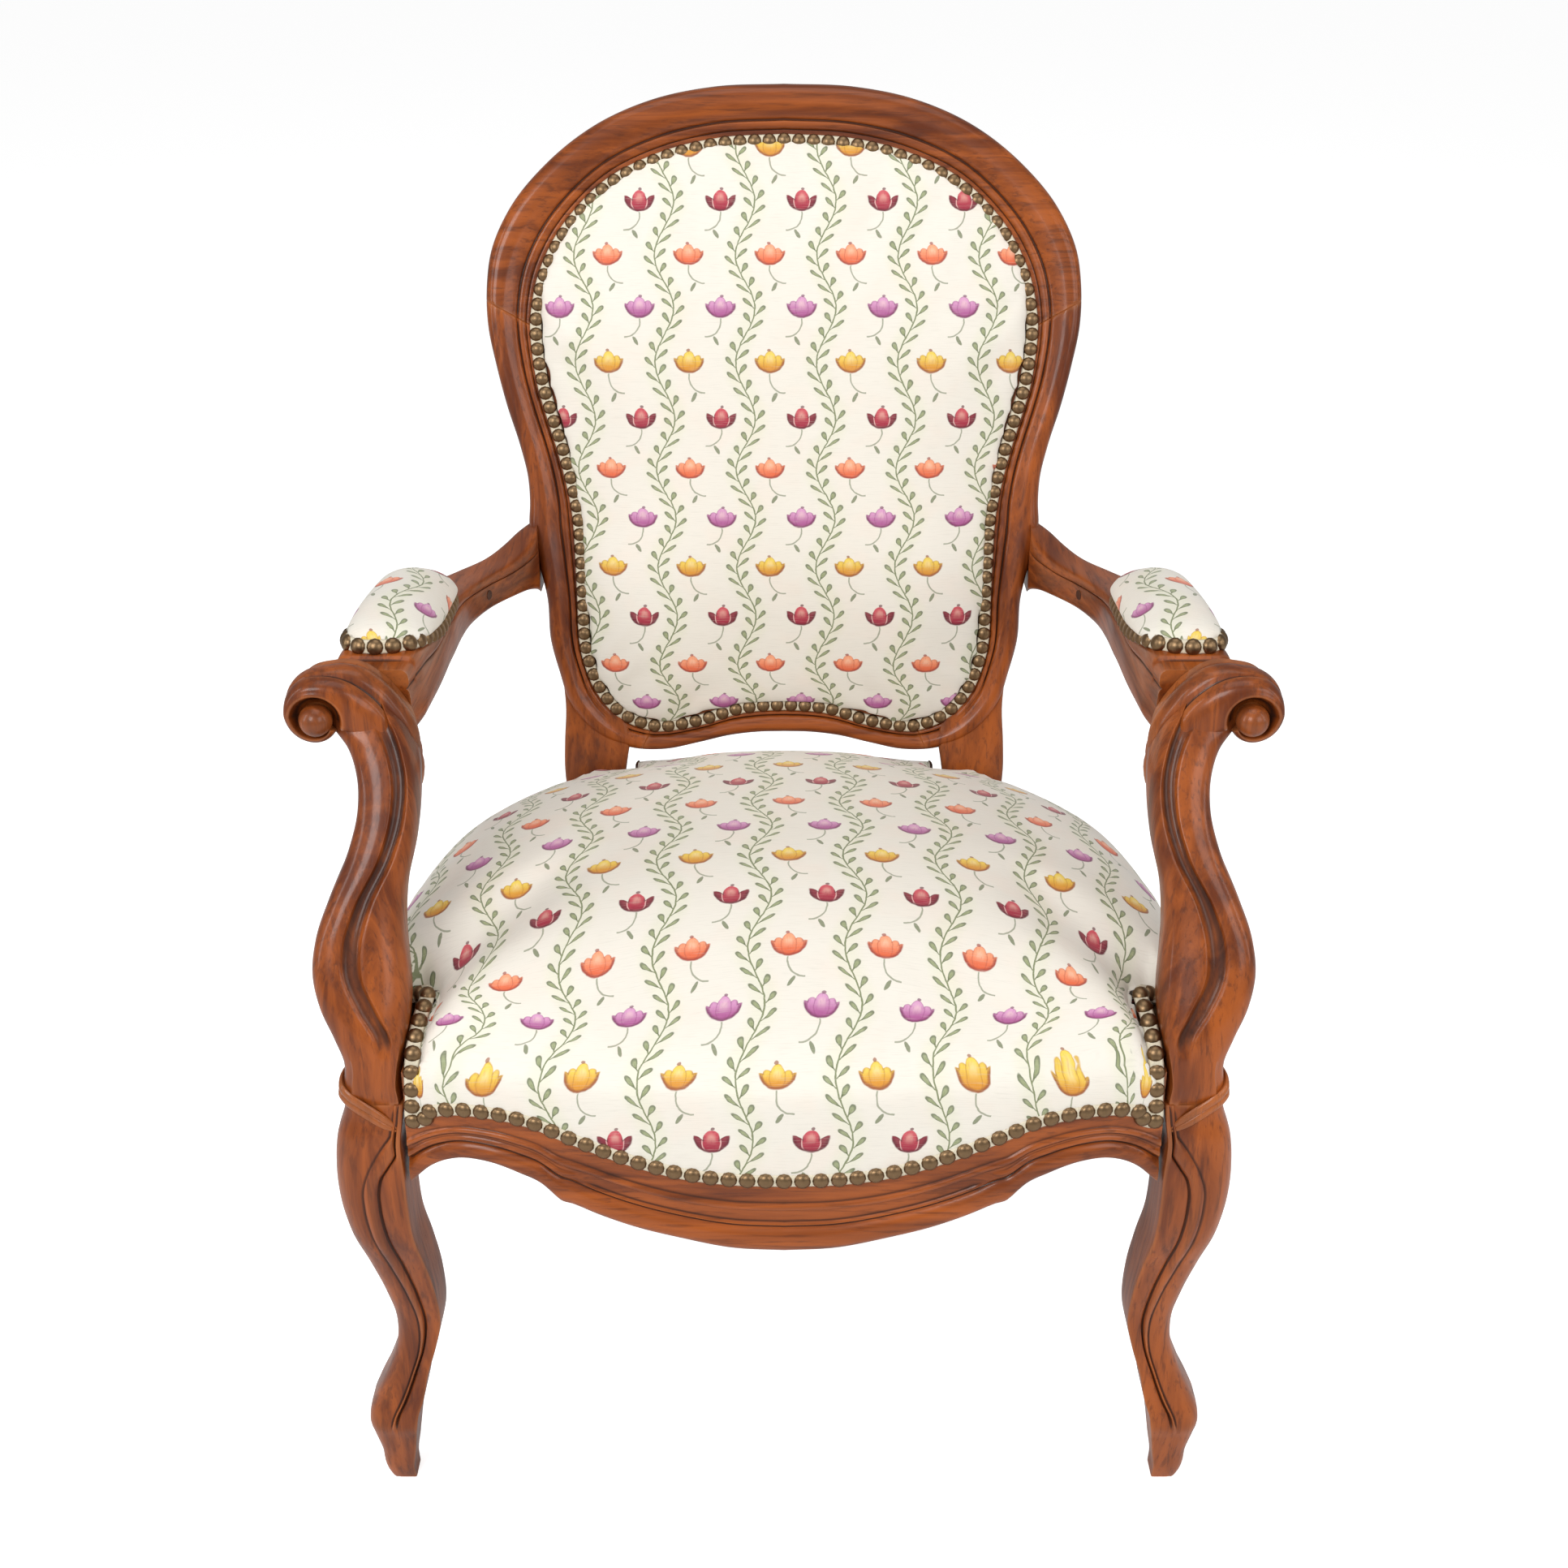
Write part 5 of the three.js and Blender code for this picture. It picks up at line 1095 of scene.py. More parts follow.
def fit_pad(made):
    """Sets an arm pad's foot on the arm, which rises towards the scroll, and swells its inner side."""
    for vert in made.data.vertices:
        _, y, z = from_frame(vert.co)
        forward = min(max((y - ARM_REAR[1]) / (ARM_FRONT[1] - ARM_REAR[1]), 0), 1)
        middle, _, wide, tall = arm_station(forward)
        up = min(max((z - middle[2] - tall) / PAD_HEIGHT, 0), 1)
        lift = arm_lift(forward)
        vert.co.z += (lift * (1 - up) - (2.5 + 0.4 * lift) * up) / 1000
        inward = min(max((-middle[0] - abs(vert.co.x) * 1000) / wide, 0), 1)
        swell = PAD_SWELL * inward * step(0, 0.3, up) / 1000
        vert.co.x -= swell if vert.co.x > 0 else -swell
    made.data.update()


def solid_copy(name, node):
    """A merged copy of a node's mesh, as a new object."""
    bm = bmesh.new()
    bm.from_mesh(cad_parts[node].data)
    bmesh.ops.remove_doubles(bm, verts=bm.verts, dist=1e-5)
    mesh = bpy.data.meshes.new(name)
    bm.to_mesh(mesh)
    bm.free()
    made = bpy.data.objects.new(name, mesh)
    bpy.context.scene.collection.objects.link(made)
    return made


def bake_modifiers(made):
    """Applies the modifiers of an object to its mesh."""
    graph = bpy.context.evaluated_depsgraph_get()
    fresh = bpy.data.meshes.new_from_object(made.evaluated_get(graph))
    old = made.data
    made.modifiers.clear()
    made.data = fresh
    bpy.data.meshes.remove(old)


def relax(made, rounds, keep):
    """Smooths a mesh, holding back each vertex by its share in keep."""
    mesh = made.data
    places = vertex_places(mesh)
    a, b = edge_ends(mesh)
    total = np.zeros(len(places))
    np.add.at(total, a, 1)
    np.add.at(total, b, 1)
    for _ in range(rounds):
        mean = np.zeros_like(places)
        np.add.at(mean, a, places[b])
        np.add.at(mean, b, places[a])
        places += (mean / total[:, None] - places) * (0.5 * (1 - keep))[:, None]
    mesh.vertices.foreach_set("co", places.ravel())
    mesh.update()


def inflate(made, held, cap):
    """Fills a pad by cloth simulation, its held vertices pinned and every move capped."""
    before = vertex_places(made.data)
    pins = made.vertex_groups.new(name="held")
    for weight in sorted(set(np.round(held, 1))):
        if weight > 0:
            pins.add([int(i) for i in np.nonzero(np.round(held, 1) == weight)[0]], float(weight), "REPLACE")
    cloth = made.modifiers.new("Fill", "CLOTH")
    cloth.settings.vertex_group_mass = "held"
    cloth.settings.use_pressure = True
    cloth.settings.uniform_pressure_force = PRESSURE
    cloth.settings.effector_weights.gravity = 0
    cloth.settings.quality = 4
    cloth.settings.tension_stiffness = 25
    cloth.settings.compression_stiffness = 25
    cloth.settings.bending_stiffness = 2
    cloth.collision_settings.use_collision = False
    cloth.point_cache.frame_start, cloth.point_cache.frame_end = 1, FRAMES
    scene = bpy.context.scene
    for number in range(1, FRAMES + 1):
        scene.frame_set(number)
    bake_modifiers(made)
    scene.frame_set(1)
    made.vertex_groups.clear()
    after = vertex_places(made.data)
    move = after - before
    length = np.linalg.norm(move, axis=1)
    capped = cap * np.tanh(length / cap)
    after = before + move * (capped / np.maximum(length, 1e-9))[:, None]
    made.data.vertices.foreach_set("co", after.ravel())
    made.data.update()


def stuffed(made, node, material, voxel, held, cap, lay, smooth=6, trim=None):
    """Fills, smooths and covers a pad from its starting shape."""
    remesh = made.modifiers.new("Remesh", "REMESH")
    remesh.mode = "VOXEL"
    remesh.voxel_size = voxel
    bake_modifiers(made)
    keep = held(vertex_places(made.data))
    relax(made, smooth, keep)
    inflate(made, keep, cap)
    relax(made, 4, keep)
    if trim:
        trim(made)
    made.data.shade_smooth()
    made.data.materials.clear()
    made.data.materials.append(material)
    lay_cloth(made, lay)
    finer = made.modifiers.new("Subdivision", "SUBSURF")
    finer.levels = finer.render_levels = 1
    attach(made, "root")
    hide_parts(node)
    return made


def sag(made, gaps, most):
    """Lets a tacked sheet hang a little, by how far each of its vertices is from its edge."""
    reach = max(gaps)
    for vert, gap in zip(made.data.vertices, gaps):
        vert.co.z -= most * (1 - (1 - gap / reach) ** 2)
    made.data.update()


def stretched(name, node, way, material, cap=0.003, hem=0.0, strap=None, lay=None):
    """A sheet cut to that face of a node that looks one way, tacked round its edge.

    cap is how far it sags, hem the width of its turned edge, and strap marks a sheet of webbing,
    which stays taut; the width it holds is not used.
    """
    made = solid_copy(name, node)
    bm = bmesh.new()
    bm.from_mesh(made.data)
    bm.normal_update()
    doomed = [f for f in bm.faces if f.normal.dot(way) < 0.8]
    bmesh.ops.delete(bm, geom=doomed, context="FACES")
    if not strap:
        bmesh.ops.dissolve_limit(bm, angle_limit=0.02, use_dissolve_boundaries=False, verts=bm.verts, edges=bm.edges)
    across = Vector((1, 0, 0))
    along = way.cross(across).normalized()
    for axis in (across, along):
        reach = [v.co.dot(axis) for v in bm.verts]
        place = min(reach) + CLOTH_GRID
        while place < max(reach) and not strap:
            bmesh.ops.bisect_plane(bm, geom=bm.verts[:] + bm.edges[:] + bm.faces[:], dist=1e-6,
                                   plane_co=axis * place, plane_no=axis)
            place += CLOTH_GRID
    bmesh.ops.triangulate(bm, faces=bm.faces[:])
    area = sum(f.calc_area() for f in bm.faces)
    rim = [e for e in bm.edges if e.is_boundary]
    edge = KDTree(len(rim))
    for i, e in enumerate(rim):
        edge.insert((e.verts[0].co + e.verts[1].co) / 2, i)
    edge.balance()
    gaps = [edge.find(v.co)[2] for v in bm.verts]
    bm.to_mesh(made.data)
    bm.free()
    if not strap:
        sag(made, gaps, cap)
    if hem:
        bm = bmesh.new()
        bm.from_mesh(made.data)
        rim = [e for e in bm.edges if e.is_boundary]
        fresh = bmesh.ops.extrude_edge_only(bm, edges=rim)["geom"]
        for vert in (g for g in fresh if isinstance(g, bmesh.types.BMVert)):
            vert.co -= way * hem
        bmesh.ops.recalc_face_normals(bm, faces=bm.faces)
        bm.to_mesh(made.data)
        bm.free()
    made.data.shade_smooth()
    made.data.materials.clear()
    made.data.materials.append(material)
    if lay:
        lay_cloth(made, lay)
    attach(made, "root")
    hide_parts(node)
    return made


def seat_held(places):
    """How firmly each place of the seat is tacked down: its hem, its underside and its rear."""
    y = (places[:, 1] - DATUM_Y) * 1000
    above = places[:, 2] * 1000 - rail_top(y)
    return np.clip((12 - above) / 14, 0, 1)


def back_held(places):
    """How firmly each place of the back is tacked: its floor and its edge at the frame."""
    x = places[:, 0] * 1000
    y = (places[:, 1] - DATUM_Y) * 1000
    z = places[:, 2] * 1000
    proud = (back_face(x, z) - y) * cos(RECLINE)
    return np.clip((3.0 - proud) / 4, 0, 1)


def arm_pad_held(places):
    """How firmly each place of an arm pad is tacked: its foot."""
    z = places[:, 2] * 1000
    low = z.min()
    return np.clip((low + 7 - z) / 6, 0, 1)


# Seat

NOTCH_REAR = -246


def side_plan():
    return spline([(row[0], row[1]) for row in SIDE_RAIL])


def seat_half_outline():
    """Half of the seat's edge from the middle of its front: across, along, and its hem's height."""
    table, side = spline(FRONT_RAIL), side_plan()
    drops = spline([(row[0], row[2]) for row in SIDE_RAIL])
    edge = [(x, front_face(x), table(x)[0]) for x in np.linspace(0, 254.5, 52)]
    edge += [(255.4, -310.6, 372), (255.2, -307, 388), (254.6, -298, 399), (253.6, -284, 406),
             (252, -270, 411), (250.6, -258, 414), (252, -249.5, 414), (258, -246.3, 410), (275, NOTCH_REAR, 400),
             (294, NOTCH_REAR, 392), (299, -244, 384), (299.9, -238, 362)]
    for y in np.linspace(-230, 155, 70):
        edge.append((side(y)[0], y, rail_top(y) - drops(y)[0]))
    legs = rail_top(157) + 10
    edge += [(191, 156.4, legs - 24), (188, 156.7, legs), (160, 156.7, legs), (135, 156.8, legs), (131.5, 158, legs),
             (131.3, 170, legs), (131.3, 196, legs), (131, 201, legs - 20)]
    edge += [(x, 201.7, rail_top(202) - 33.6) for x in np.linspace(129, 0, 24)]
    return edge


def seat_outline(spacing=5.0):
    half = seat_half_outline()
    other = [(-x, y, z) for x, y, z in half[-2:0:-1]]
    rows = trace([(x, y, 0, z) for x, y, z in half + other + [half[0]]], spacing)[:-1]
    return [(x, y, z) for x, y, _, z in rows]


# Border of the seat: draw inwards and height above the rails, at its front, its sides and its rear.
SEAT_BORDER = [
    (0, -90, 0, -90, 0, -90), (0, -60, 0, -60, 0, -60), (0, -36, 0, -38, 0, -36), (0, -16, 0, -18, 0, -18),
    (0.6, -3, 0.6, -3, 0, -3), (2.8, 8, 2.5, 9, -1.5, 6), (7, 17.5, 7, 24, -1.5, 14), (14, 26.5, 13, 39, 1, 22),
    (26, 35, 21, 52, 8, 28), (48, 45.3, 33, 63, 20, 33), (75, 59, 50, 71, 34, 36),
]
# How much of the crown is reached from the border to the middle, by the share of the way out.
FRONT_RISE = [(0, 1), (0.157, 1.1), (0.35, 1.11), (0.543, 1.07), (0.736, 0.8), (0.923, 0.266), (1, 0)]
SIDE_RISE = [(0, 1), (0.2, 1.0), (0.4, 0.95), (0.6, 0.82), (0.75, 0.62), (0.9, 0.28), (1, 0)]
REAR_RISE = [(0, 1), (0.088, 0.978), (0.25, 0.9), (0.467, 0.775), (0.62, 0.57), (0.78, 0.36), (0.885, 0.18), (1, 0)]
SEAT_CROWN = 89
SEAT_CENTRE_Y = -17.3
SEAT_HALF_WIDTH = 266
SEAT_HALF_DEPTH = 255


def crown_place(x, y):
    """The place on the crown's oval that lies towards a place."""
    away = y - SEAT_CENTRE_Y
    reach = hypot(x / SEAT_HALF_WIDTH, away / SEAT_HALF_DEPTH) or 1
    return x / reach, SEAT_CENTRE_Y + away / reach


def seat_parts(x, y):
    """How much a place of the seat belongs to its front, its sides and its rear."""
    turn = atan2(abs(x) / SEAT_HALF_WIDTH, (SEAT_CENTRE_Y - y) / SEAT_HALF_DEPTH)
    front, rear = 1 - step(0.4, 1.25, turn), step(1.3, 2.4, turn)
    return front, max(0, 1 - front - rear), rear


def seat_rings():
    outline = seat_outline()
    count = len(outline)
    inward, parts = [], []
    for i, (x, y, _) in enumerate(outline):
        bx, by, _ = outline[i - 3]
        ax, ay, _ = outline[(i + 3) % count]
        length = hypot(ax - bx, ay - by)
        inward.append(((by - ay) / length, (ax - bx) / length))
        parts.append(seat_parts(x, y))
    rings = []
    for row in SEAT_BORDER:
        ring = []
        for (x, y, _), (nx, ny), share in zip(outline, inward, parts):
            draw = sum(a * b for a, b in zip(row[::2], share))
            rise = sum(a * b for a, b in zip(row[1::2], share))
            reach = hypot(x, y - SEAT_CENTRE_Y)
            radial = step(3, 20, draw)
            nx = mix(nx, -x / reach, radial)
            ny = mix(ny, (SEAT_CENTRE_Y - y) / reach, radial)
            px, py = x + nx * draw, y + ny * draw
            ring.append((px, py, rail_top(py) + rise))
        rings.append(ring)
    roll = rings[-1]
    rises = [spline(rows) for rows in (FRONT_RISE, SIDE_RISE, REAR_RISE)]
    for share in (0.94, 0.87, 0.8, 0.72, 0.63, 0.54, 0.45, 0.36, 0.27, 0.18, 0.1, 0.03):
        ring = []
        for (x, y, z), part in zip(roll, parts):
            rx, ry = crown_place(x, y)
            px = mix(rx, x, share) * share
            py = mix(SEAT_CENTRE_Y, mix(ry, y, share), share)
            edge = z - rail_top(y)
            rise = sum(look_up(share)[0] * amount for look_up, amount in zip(rises, part))
            ring.append((px, py, rail_top(py) + mix(edge, SEAT_CROWN, rise)))
        rings.append(ring)
    return [[at(*place) for place in ring] for ring in rings]


def outline_tree(outline):
    """Nearest place of the seat's edge, with its hem and the direction out of it."""
    tree = KDTree(len(outline))
    count = len(outline)
    data = []
    for i, (x, y, z) in enumerate(outline):
        tree.insert((x, y, 0), i)
        bx, by, _ = outline[i - 4]
        ax, ay, _ = outline[(i + 4) % count]
        length = hypot(ax - bx, ay - by)
        data.append((x, y, z, (ay - by) / length, -(ax - bx) / length))
    tree.balance()
    return tree, data


def draw_corners(made, tree, data):
    """Draws the cover's lower edge out to its tack line beside the posts and the arm supports."""
    for vert in made.data.vertices:
        x, y, z = from_frame(vert.co)
        beside = max(step(90, 125, y), step(-205, -225, y) * step(256, 264, abs(x)))
        if beside <= 0:
            continue
        _, i, gap = tree.find((x, y, 0))
        if gap > 34:
            continue
        ox, oy, hem, _, _ = data[i]
        share = beside * step(hem + 52, hem + 10, z) * step(34, 20, gap)
        vert.co.x += (ox - x) * share / 1000
        vert.co.y += (oy - y) * share / 1000
    made.data.update()


def cut_hem(made, tree, data):
    """Cuts the seat off along its hem, turns the cover in and closes it above the rails."""
    draw_corners(made, tree, data)
    bm = bmesh.new()
    bm.from_mesh(made.data)
    # height above the hem: beside the rails that of the tack line, and elsewhere the rails' top
    low = {}
    for vert in bm.verts:
        x, y, z = from_frame(vert.co)
        _, i, gap = tree.find((x, y, 0))
        low[vert] = z - data[i][2] if gap < (22 if y < 100 else 8) else z - rail_top(y) - 6
    doomed = [f for f in bm.faces if min(low[v] for v in f.verts) < 0]
    bmesh.ops.delete(bm, geom=doomed, context="FACES")
    rim = [e for e in bm.edges if e.is_boundary]
    for vert in {v for e in rim for v in e.verts}:
        x, y, z = from_frame(vert.co)
        _, i, _ = tree.find((x, y, 0))
        if abs(z - data[i][2]) < 14:
            vert.co.z = data[i][2] / 1000
    for depth, height in ((2.0, None), (3.6, None), (3.9, -1.2), (9.0, 1.6)):
        made_geom = bmesh.ops.extrude_edge_only(bm, edges=rim)["geom"]
        fresh = [g for g in made_geom if isinstance(g, bmesh.types.BMVert)]
        rim = [g for g in made_geom if isinstance(g, bmesh.types.BMEdge) and g.is_boundary]
        for vert in fresh:
            x, y, z = from_frame(vert.co)
            _, i, gap = tree.find((x, y, 0))
            ox, oy, hem, nx, ny = data[i]
            # away from the tack line the edge is turned in where it is
            if gap > 9 + depth:
                ox, oy, hem = x + nx * depth, y + ny * depth, min(hem, z)
            z = hem - 0.3 if height is None else rail_top(oy) + height
            vert.co = at(ox - nx * depth, oy - ny * depth, max(z, hem - 0.3))
    bmesh.ops.holes_fill(bm, edges=rim, sides=0)
    bmesh.ops.triangulate(bm, faces=[f for f in bm.faces if len(f.verts) > 4])
    bmesh.ops.recalc_face_normals(bm, faces=bm.faces)
    bm.to_mesh(made.data)
    bm.free()


def seat_nail_line():
    """Nail line of the seat: places above its hem, and the direction out of the cover."""
    half = seat_half_outline()
    other = [(-x, y, z) for x, y, z in half[-2:0:-1]]
    path = trace(half + other + [half[0]], 2.0)
    count = len(path) - 1
    line = []
    for i in range(count + 1):
        x, y, z = path[i]
        bx, by, bz = path[(i - 3) % count]
        ax, ay, az = path[(i + 3) % count]
        length = hypot(ax - bx, ay - by) or 1
        out = Vector(((ay - by) / length, -(ax - bx) / length, 0))
        tangent = Vector((ax - bx, ay - by, az - bz)).normalized()
        up = out.cross(tangent) * -1
        if up.z < 0 and abs(tangent.z) < 0.7:
            up = -up
        place = Vector((x, y, z)) + up * 4.6
        # beside the posts the cover turns back, and its nails face forwards and then upwards
        if 246 < abs(x) < 262 and y < -240:
            lift = step(384, 412, z)
            out = Vector((-0.15 * lift * (1 if x > 0 else -1), -1 + 0.35 * lift, 0.75 * lift)).normalized()
            place = Vector((x - (4.4 if x > 0 else -4.4), y - 1.5, z + 2.5 * lift))
        line.append((at(*place), out))
    return line


# Brass nails

# Depth of the back's nails behind its face.
NAIL_SINK = 1.6


def nail_shape(bm, diameter):
    """Half of a flattened ball, open below."""
    bmesh.ops.create_uvsphere(bm, u_segments=12, v_segments=8, radius=diameter / 2)
    geom = bm.verts[:] + bm.edges[:] + bm.faces[:]
    bmesh.ops.bisect_plane(bm, geom=geom, dist=1e-6, plane_co=(0, 0, 0), plane_no=(0, 0, -1), clear_outer=True)
    bmesh.ops.scale(bm, vec=(1, 1, 0.62), verts=bm.verts)


def nails(name, line):
    """Domed nails set along a closed line of (place, outward direction)."""
    sizes = bpy.context.scene.chair_sizes
    shape = bmesh.new()
    nail_shape(shape, sizes.nail_diameter)
    template = bpy.data.meshes.new("nail")
    shape.to_mesh(template)
    shape.free()
    bm = bmesh.new()
    for place, outward in spaced(line, sizes.nail_pitch)[:-1]:
        bm.verts.ensure_lookup_table()
        count = len(bm.verts)
        bm.from_mesh(template)
        bm.verts.ensure_lookup_table()
        turn = Vector((0, 0, 1)).rotation_difference(outward).to_matrix().to_4x4()
        fresh = bm.verts[count:]
        bmesh.ops.transform(bm, matrix=Matrix.Translation(place) @ turn, verts=fresh)
    bpy.data.meshes.remove(template)
    piece(bm, name, plain_material("brass", (0.25, 0.16, 0.085), 0.38, 1.0), sharp=0, merge=0)


def spaced(line, pitch):
    """Pairs of place and direction, evenly spaced along a line of such pairs."""
    lengths = [0.0]
    for (a, _), (b, _) in zip(line, line[1:]):
        lengths.append(lengths[-1] + (b - a).length)
    count = max(1, round(lengths[-1] / pitch))
    out = []
    at_piece = 0
    for i in range(count + 1):
        want = lengths[-1] * i / count
        while at_piece < len(line) - 2 and lengths[at_piece + 1] < want:
            at_piece += 1
        span = max(lengths[at_piece + 1] - lengths[at_piece], 1e-9)
        share = min(max((want - lengths[at_piece]) / span, 0), 1)
        (a, na), (b, nb) = line[at_piece], line[at_piece + 1]
        out.append((a.lerp(b, share), na.lerp(nb, share).normalized()))
    return out


def back_nail_line():
    """The whole line of nails round the back, with the direction out of the frame's face."""
    half = [(nx, nz) for _, _, nx, nz in hoop_stations()]
    left = [(back_place(-x, z, NAIL_SINK), -BACKWARDS) for x, z in half]
    right = [(back_place(x, z, NAIL_SINK), -BACKWARDS) for x, z in reversed(half)]
    return left + right[1:]


def arm_nail_line(side):
    """Nail line round the foot of an arm pad."""
    points = []
    count = 26
    for way in (1, -1):
        for i in range(count + 1):
            share = i / count if way > 0 else 1 - i / count
            forward = mix(0.5, 0.93, share)
            (x, y, z), (ox, oy), wide, tall = arm_station(forward)
            swell = max(0, 1 - abs(2 * share - 1) ** 4) ** 0.5
            reach = wide * mix(0.5, 1.0 if way > 0 else 1.16, swell)
            points.append((x + ox * reach * way, y + oy * reach * way, z + tall + arm_lift(forward) + 3.5))
    path = trace(points + [points[0]], 2.0)
    middle = Vector((sum(p[0] for p in path) / len(path), sum(p[1] for p in path) / len(path), 0))
    line = []
    total = len(path) - 1
    for i in range(total + 1):
        x, y, z = path[i]
        b, a = path[(i - 3) % total], path[(i + 3) % total]
        out = Vector((a[1] - b[1], b[0] - a[0], 0)).normalized()
        if out.dot(Vector((x, y, 0)) - middle) < 0:
            out = -out
        out = (out + Vector((0, 0, 0.35))).normalized()
        place = at(x, y, z)
        if side == "right":
            place.x, out.x = -place.x, -out.x
        line.append((place, out))
    return line


# Edge of the cloth behind the back, as a share of the hoop's width, and its nails' inset from it.
OUTER_EDGE = 0.6
OUTER_INSET = 8


def outer_nail_line():
    """Nail line round the cloth behind the back."""
    cloth = bpy.data.objects["outer_back_cloth"]
    half = []
    for ox, oz, nx, nz in hoop_stations():
        share = OUTER_EDGE + OUTER_INSET / hypot(nx - ox, nz - oz)
        half.append((mix(ox, nx, share), mix(oz, nz, share)))
    line = []
    for x, z in [(-x, z) for x, z in half] + half[::-1][1:]:
        found, place, _, _ = cloth.closest_point_on_mesh(back_place(x, z, 40))
        if found:
            line.append((place, BACKWARDS))
    return line


def gimp(name, line):
    """A narrow rolled edge of the cover under the nails."""
    half = bpy.context.scene.chair_sizes.nail_diameter * 0.42
    rings = []
    count = len(line) - 1
    for i in range(count):
        place, out = line[i]
        before, after = line[(i - 1) % count][0], line[(i + 1) % count][0]
        tangent = (after - before).normalized()
        across = out.cross(tangent).normalized()
        ring = []
        for turn in range(8):
            angle = 2 * pi * turn / 8
            ring.append(place + across * (half * cos(angle)) + out * (0.0011 * sin(angle) - 0.0002))
        rings.append(ring)
    rings.append(rings[0])
    bm = bmesh.new()
    skin(bm, rings, ring=True, caps=False)
    piece(bm, name, plain_material("gimp", (0.80, 0.72, 0.55), 0.8, scale=900.0), sharp=0)


# Operators

class ChairSizes(bpy.types.PropertyGroup):
    """Sizes that a maker may want to change."""

    nail_diameter: FloatProperty(
        name="Nail Diameter", description="Across the head of a brass nail", default=0.0121, unit="LENGTH")
    nail_pitch: FloatProperty(
        name="Nail Pitch", description="From one nail to the next", default=0.0124, unit="LENGTH")


class ChairColours(bpy.types.PropertyGroup):
    """Colours that a maker may want to change."""

    wood_light: FloatVectorProperty(
        name="Wood, Light", description="Light tone of the walnut", subtype="COLOR", default=(0.36, 0.085, 0.0125))
    wood_dark: FloatVectorProperty(
        name="Wood, Dark", description="Dark tone of the walnut", subtype="COLOR", default=(0.115, 0.0225, 0.004))


class CHAIR_OT_back_frame(bpy.types.Operator):
    """Makes the moulded stiles with their rear legs, the crest and the bottom rail"""

    bl_idname = "chair.back_frame"
    bl_label = "Back Frame"

    def execute(self, context):
        crest, stile, bottom = split_hoop()
        upright, across = walnut("z"), walnut("x")
        bm = bmesh.new()
        left = eased(crest, first=False, last=True)
        skin(bm, flip(left)[::-1][:-1] + left, ring=True)
        carved(bm, "crest", across, "crest_rail")
        bm = bmesh.new()
        left = eased(bottom, first=True, last=False, thickness=32)
        skin(bm, left + flip(left)[::-1][1:], ring=True)
        carved(bm, "bottom_rail", across, "back_bottom_rail")
        for side in ("left", "right"):
            bm = bmesh.new()
            hoop = eased(stile, first=True, last=True)
            post = post_rings()
            if side == "right":
                hoop, post = flip(hoop), flip(post)
            skin(bm, hoop, ring=True)
            skin(bm, post, ring=True)
            carved(bm, "stile_" + side, upright, "rear_leg_" + side)
        return {"FINISHED"}


class CHAIR_OT_seat_rails(bpy.types.Operator):
    """Makes the bowed front rail and the curved side rails with their mouldings"""

    bl_idname = "chair.seat_rails"
    bl_label = "Seat Rails"

    def execute(self, context):
        bm = bmesh.new()
        skin(bm, front_rail_rings(), ring=True)
        carved(bm, "bowed_rail", walnut("x"), "front_rail")
        for side in ("left", "right"):
            bm = bmesh.new()
            rings = side_rail_rings()
            skin(bm, rings if side == "left" else flip(rings), ring=True)
            carved(bm, "curved_rail_" + side, walnut("y"), "side_rail_" + side)
        return {"FINISHED"}


class CHAIR_OT_front_legs(bpy.types.Operator):
    """Makes the two cabriole front legs"""

    bl_idname = "chair.front_legs"
    bl_label = "Front Legs"

    def execute(self, context):
        for side in ("left", "right"):
            bm = bmesh.new()
            rings = leg_rings()
            skin(bm, rings if side == "left" else flip(rings), ring=True)
            carved(bm, "cabriole_leg_" + side, walnut("z"), "front_leg_" + side)
        return {"FINISHED"}


class CHAIR_OT_arm_supports(bpy.types.Operator):
    """Makes the S-shaped arm supports with their scroll and eye"""

    bl_idname = "chair.arm_supports"
    bl_label = "Arm Supports"

    def execute(self, context):
        for side in ("left", "right"):
            bm = bmesh.new()
            eye = at(EYE[0], EYE_FRONT, EYE[1])
            if side == "right":
                eye.x = -eye.x
            for rings in (support_rings(), scroll_rings(), collar_rings(-0.95), collar_rings(0.95)):
                skin(bm, flip(rings) if side == "right" else rings, ring=True)
            bmesh.ops.create_uvsphere(bm, u_segments=32, v_segments=20, radius=EYE_RADIUS,
                                      matrix=Matrix.Translation(eye))
            carved(bm, "scrolled_support_" + side, walnut("z"), "arm_support_" + side)
        return {"FINISHED"}


class CHAIR_OT_arms(bpy.types.Operator):
    """Makes the two swept arms"""

    bl_idname = "chair.arms"
    bl_label = "Arms"

    def execute(self, context):
        for side in ("left", "right"):
            bm = bmesh.new()
            rings = arm_rings()
            skin(bm, rings if side == "left" else flip(rings), ring=True)
            carved(bm, "swept_arm_" + side, walnut("y"), "arm_" + side)
        return {"FINISHED"}


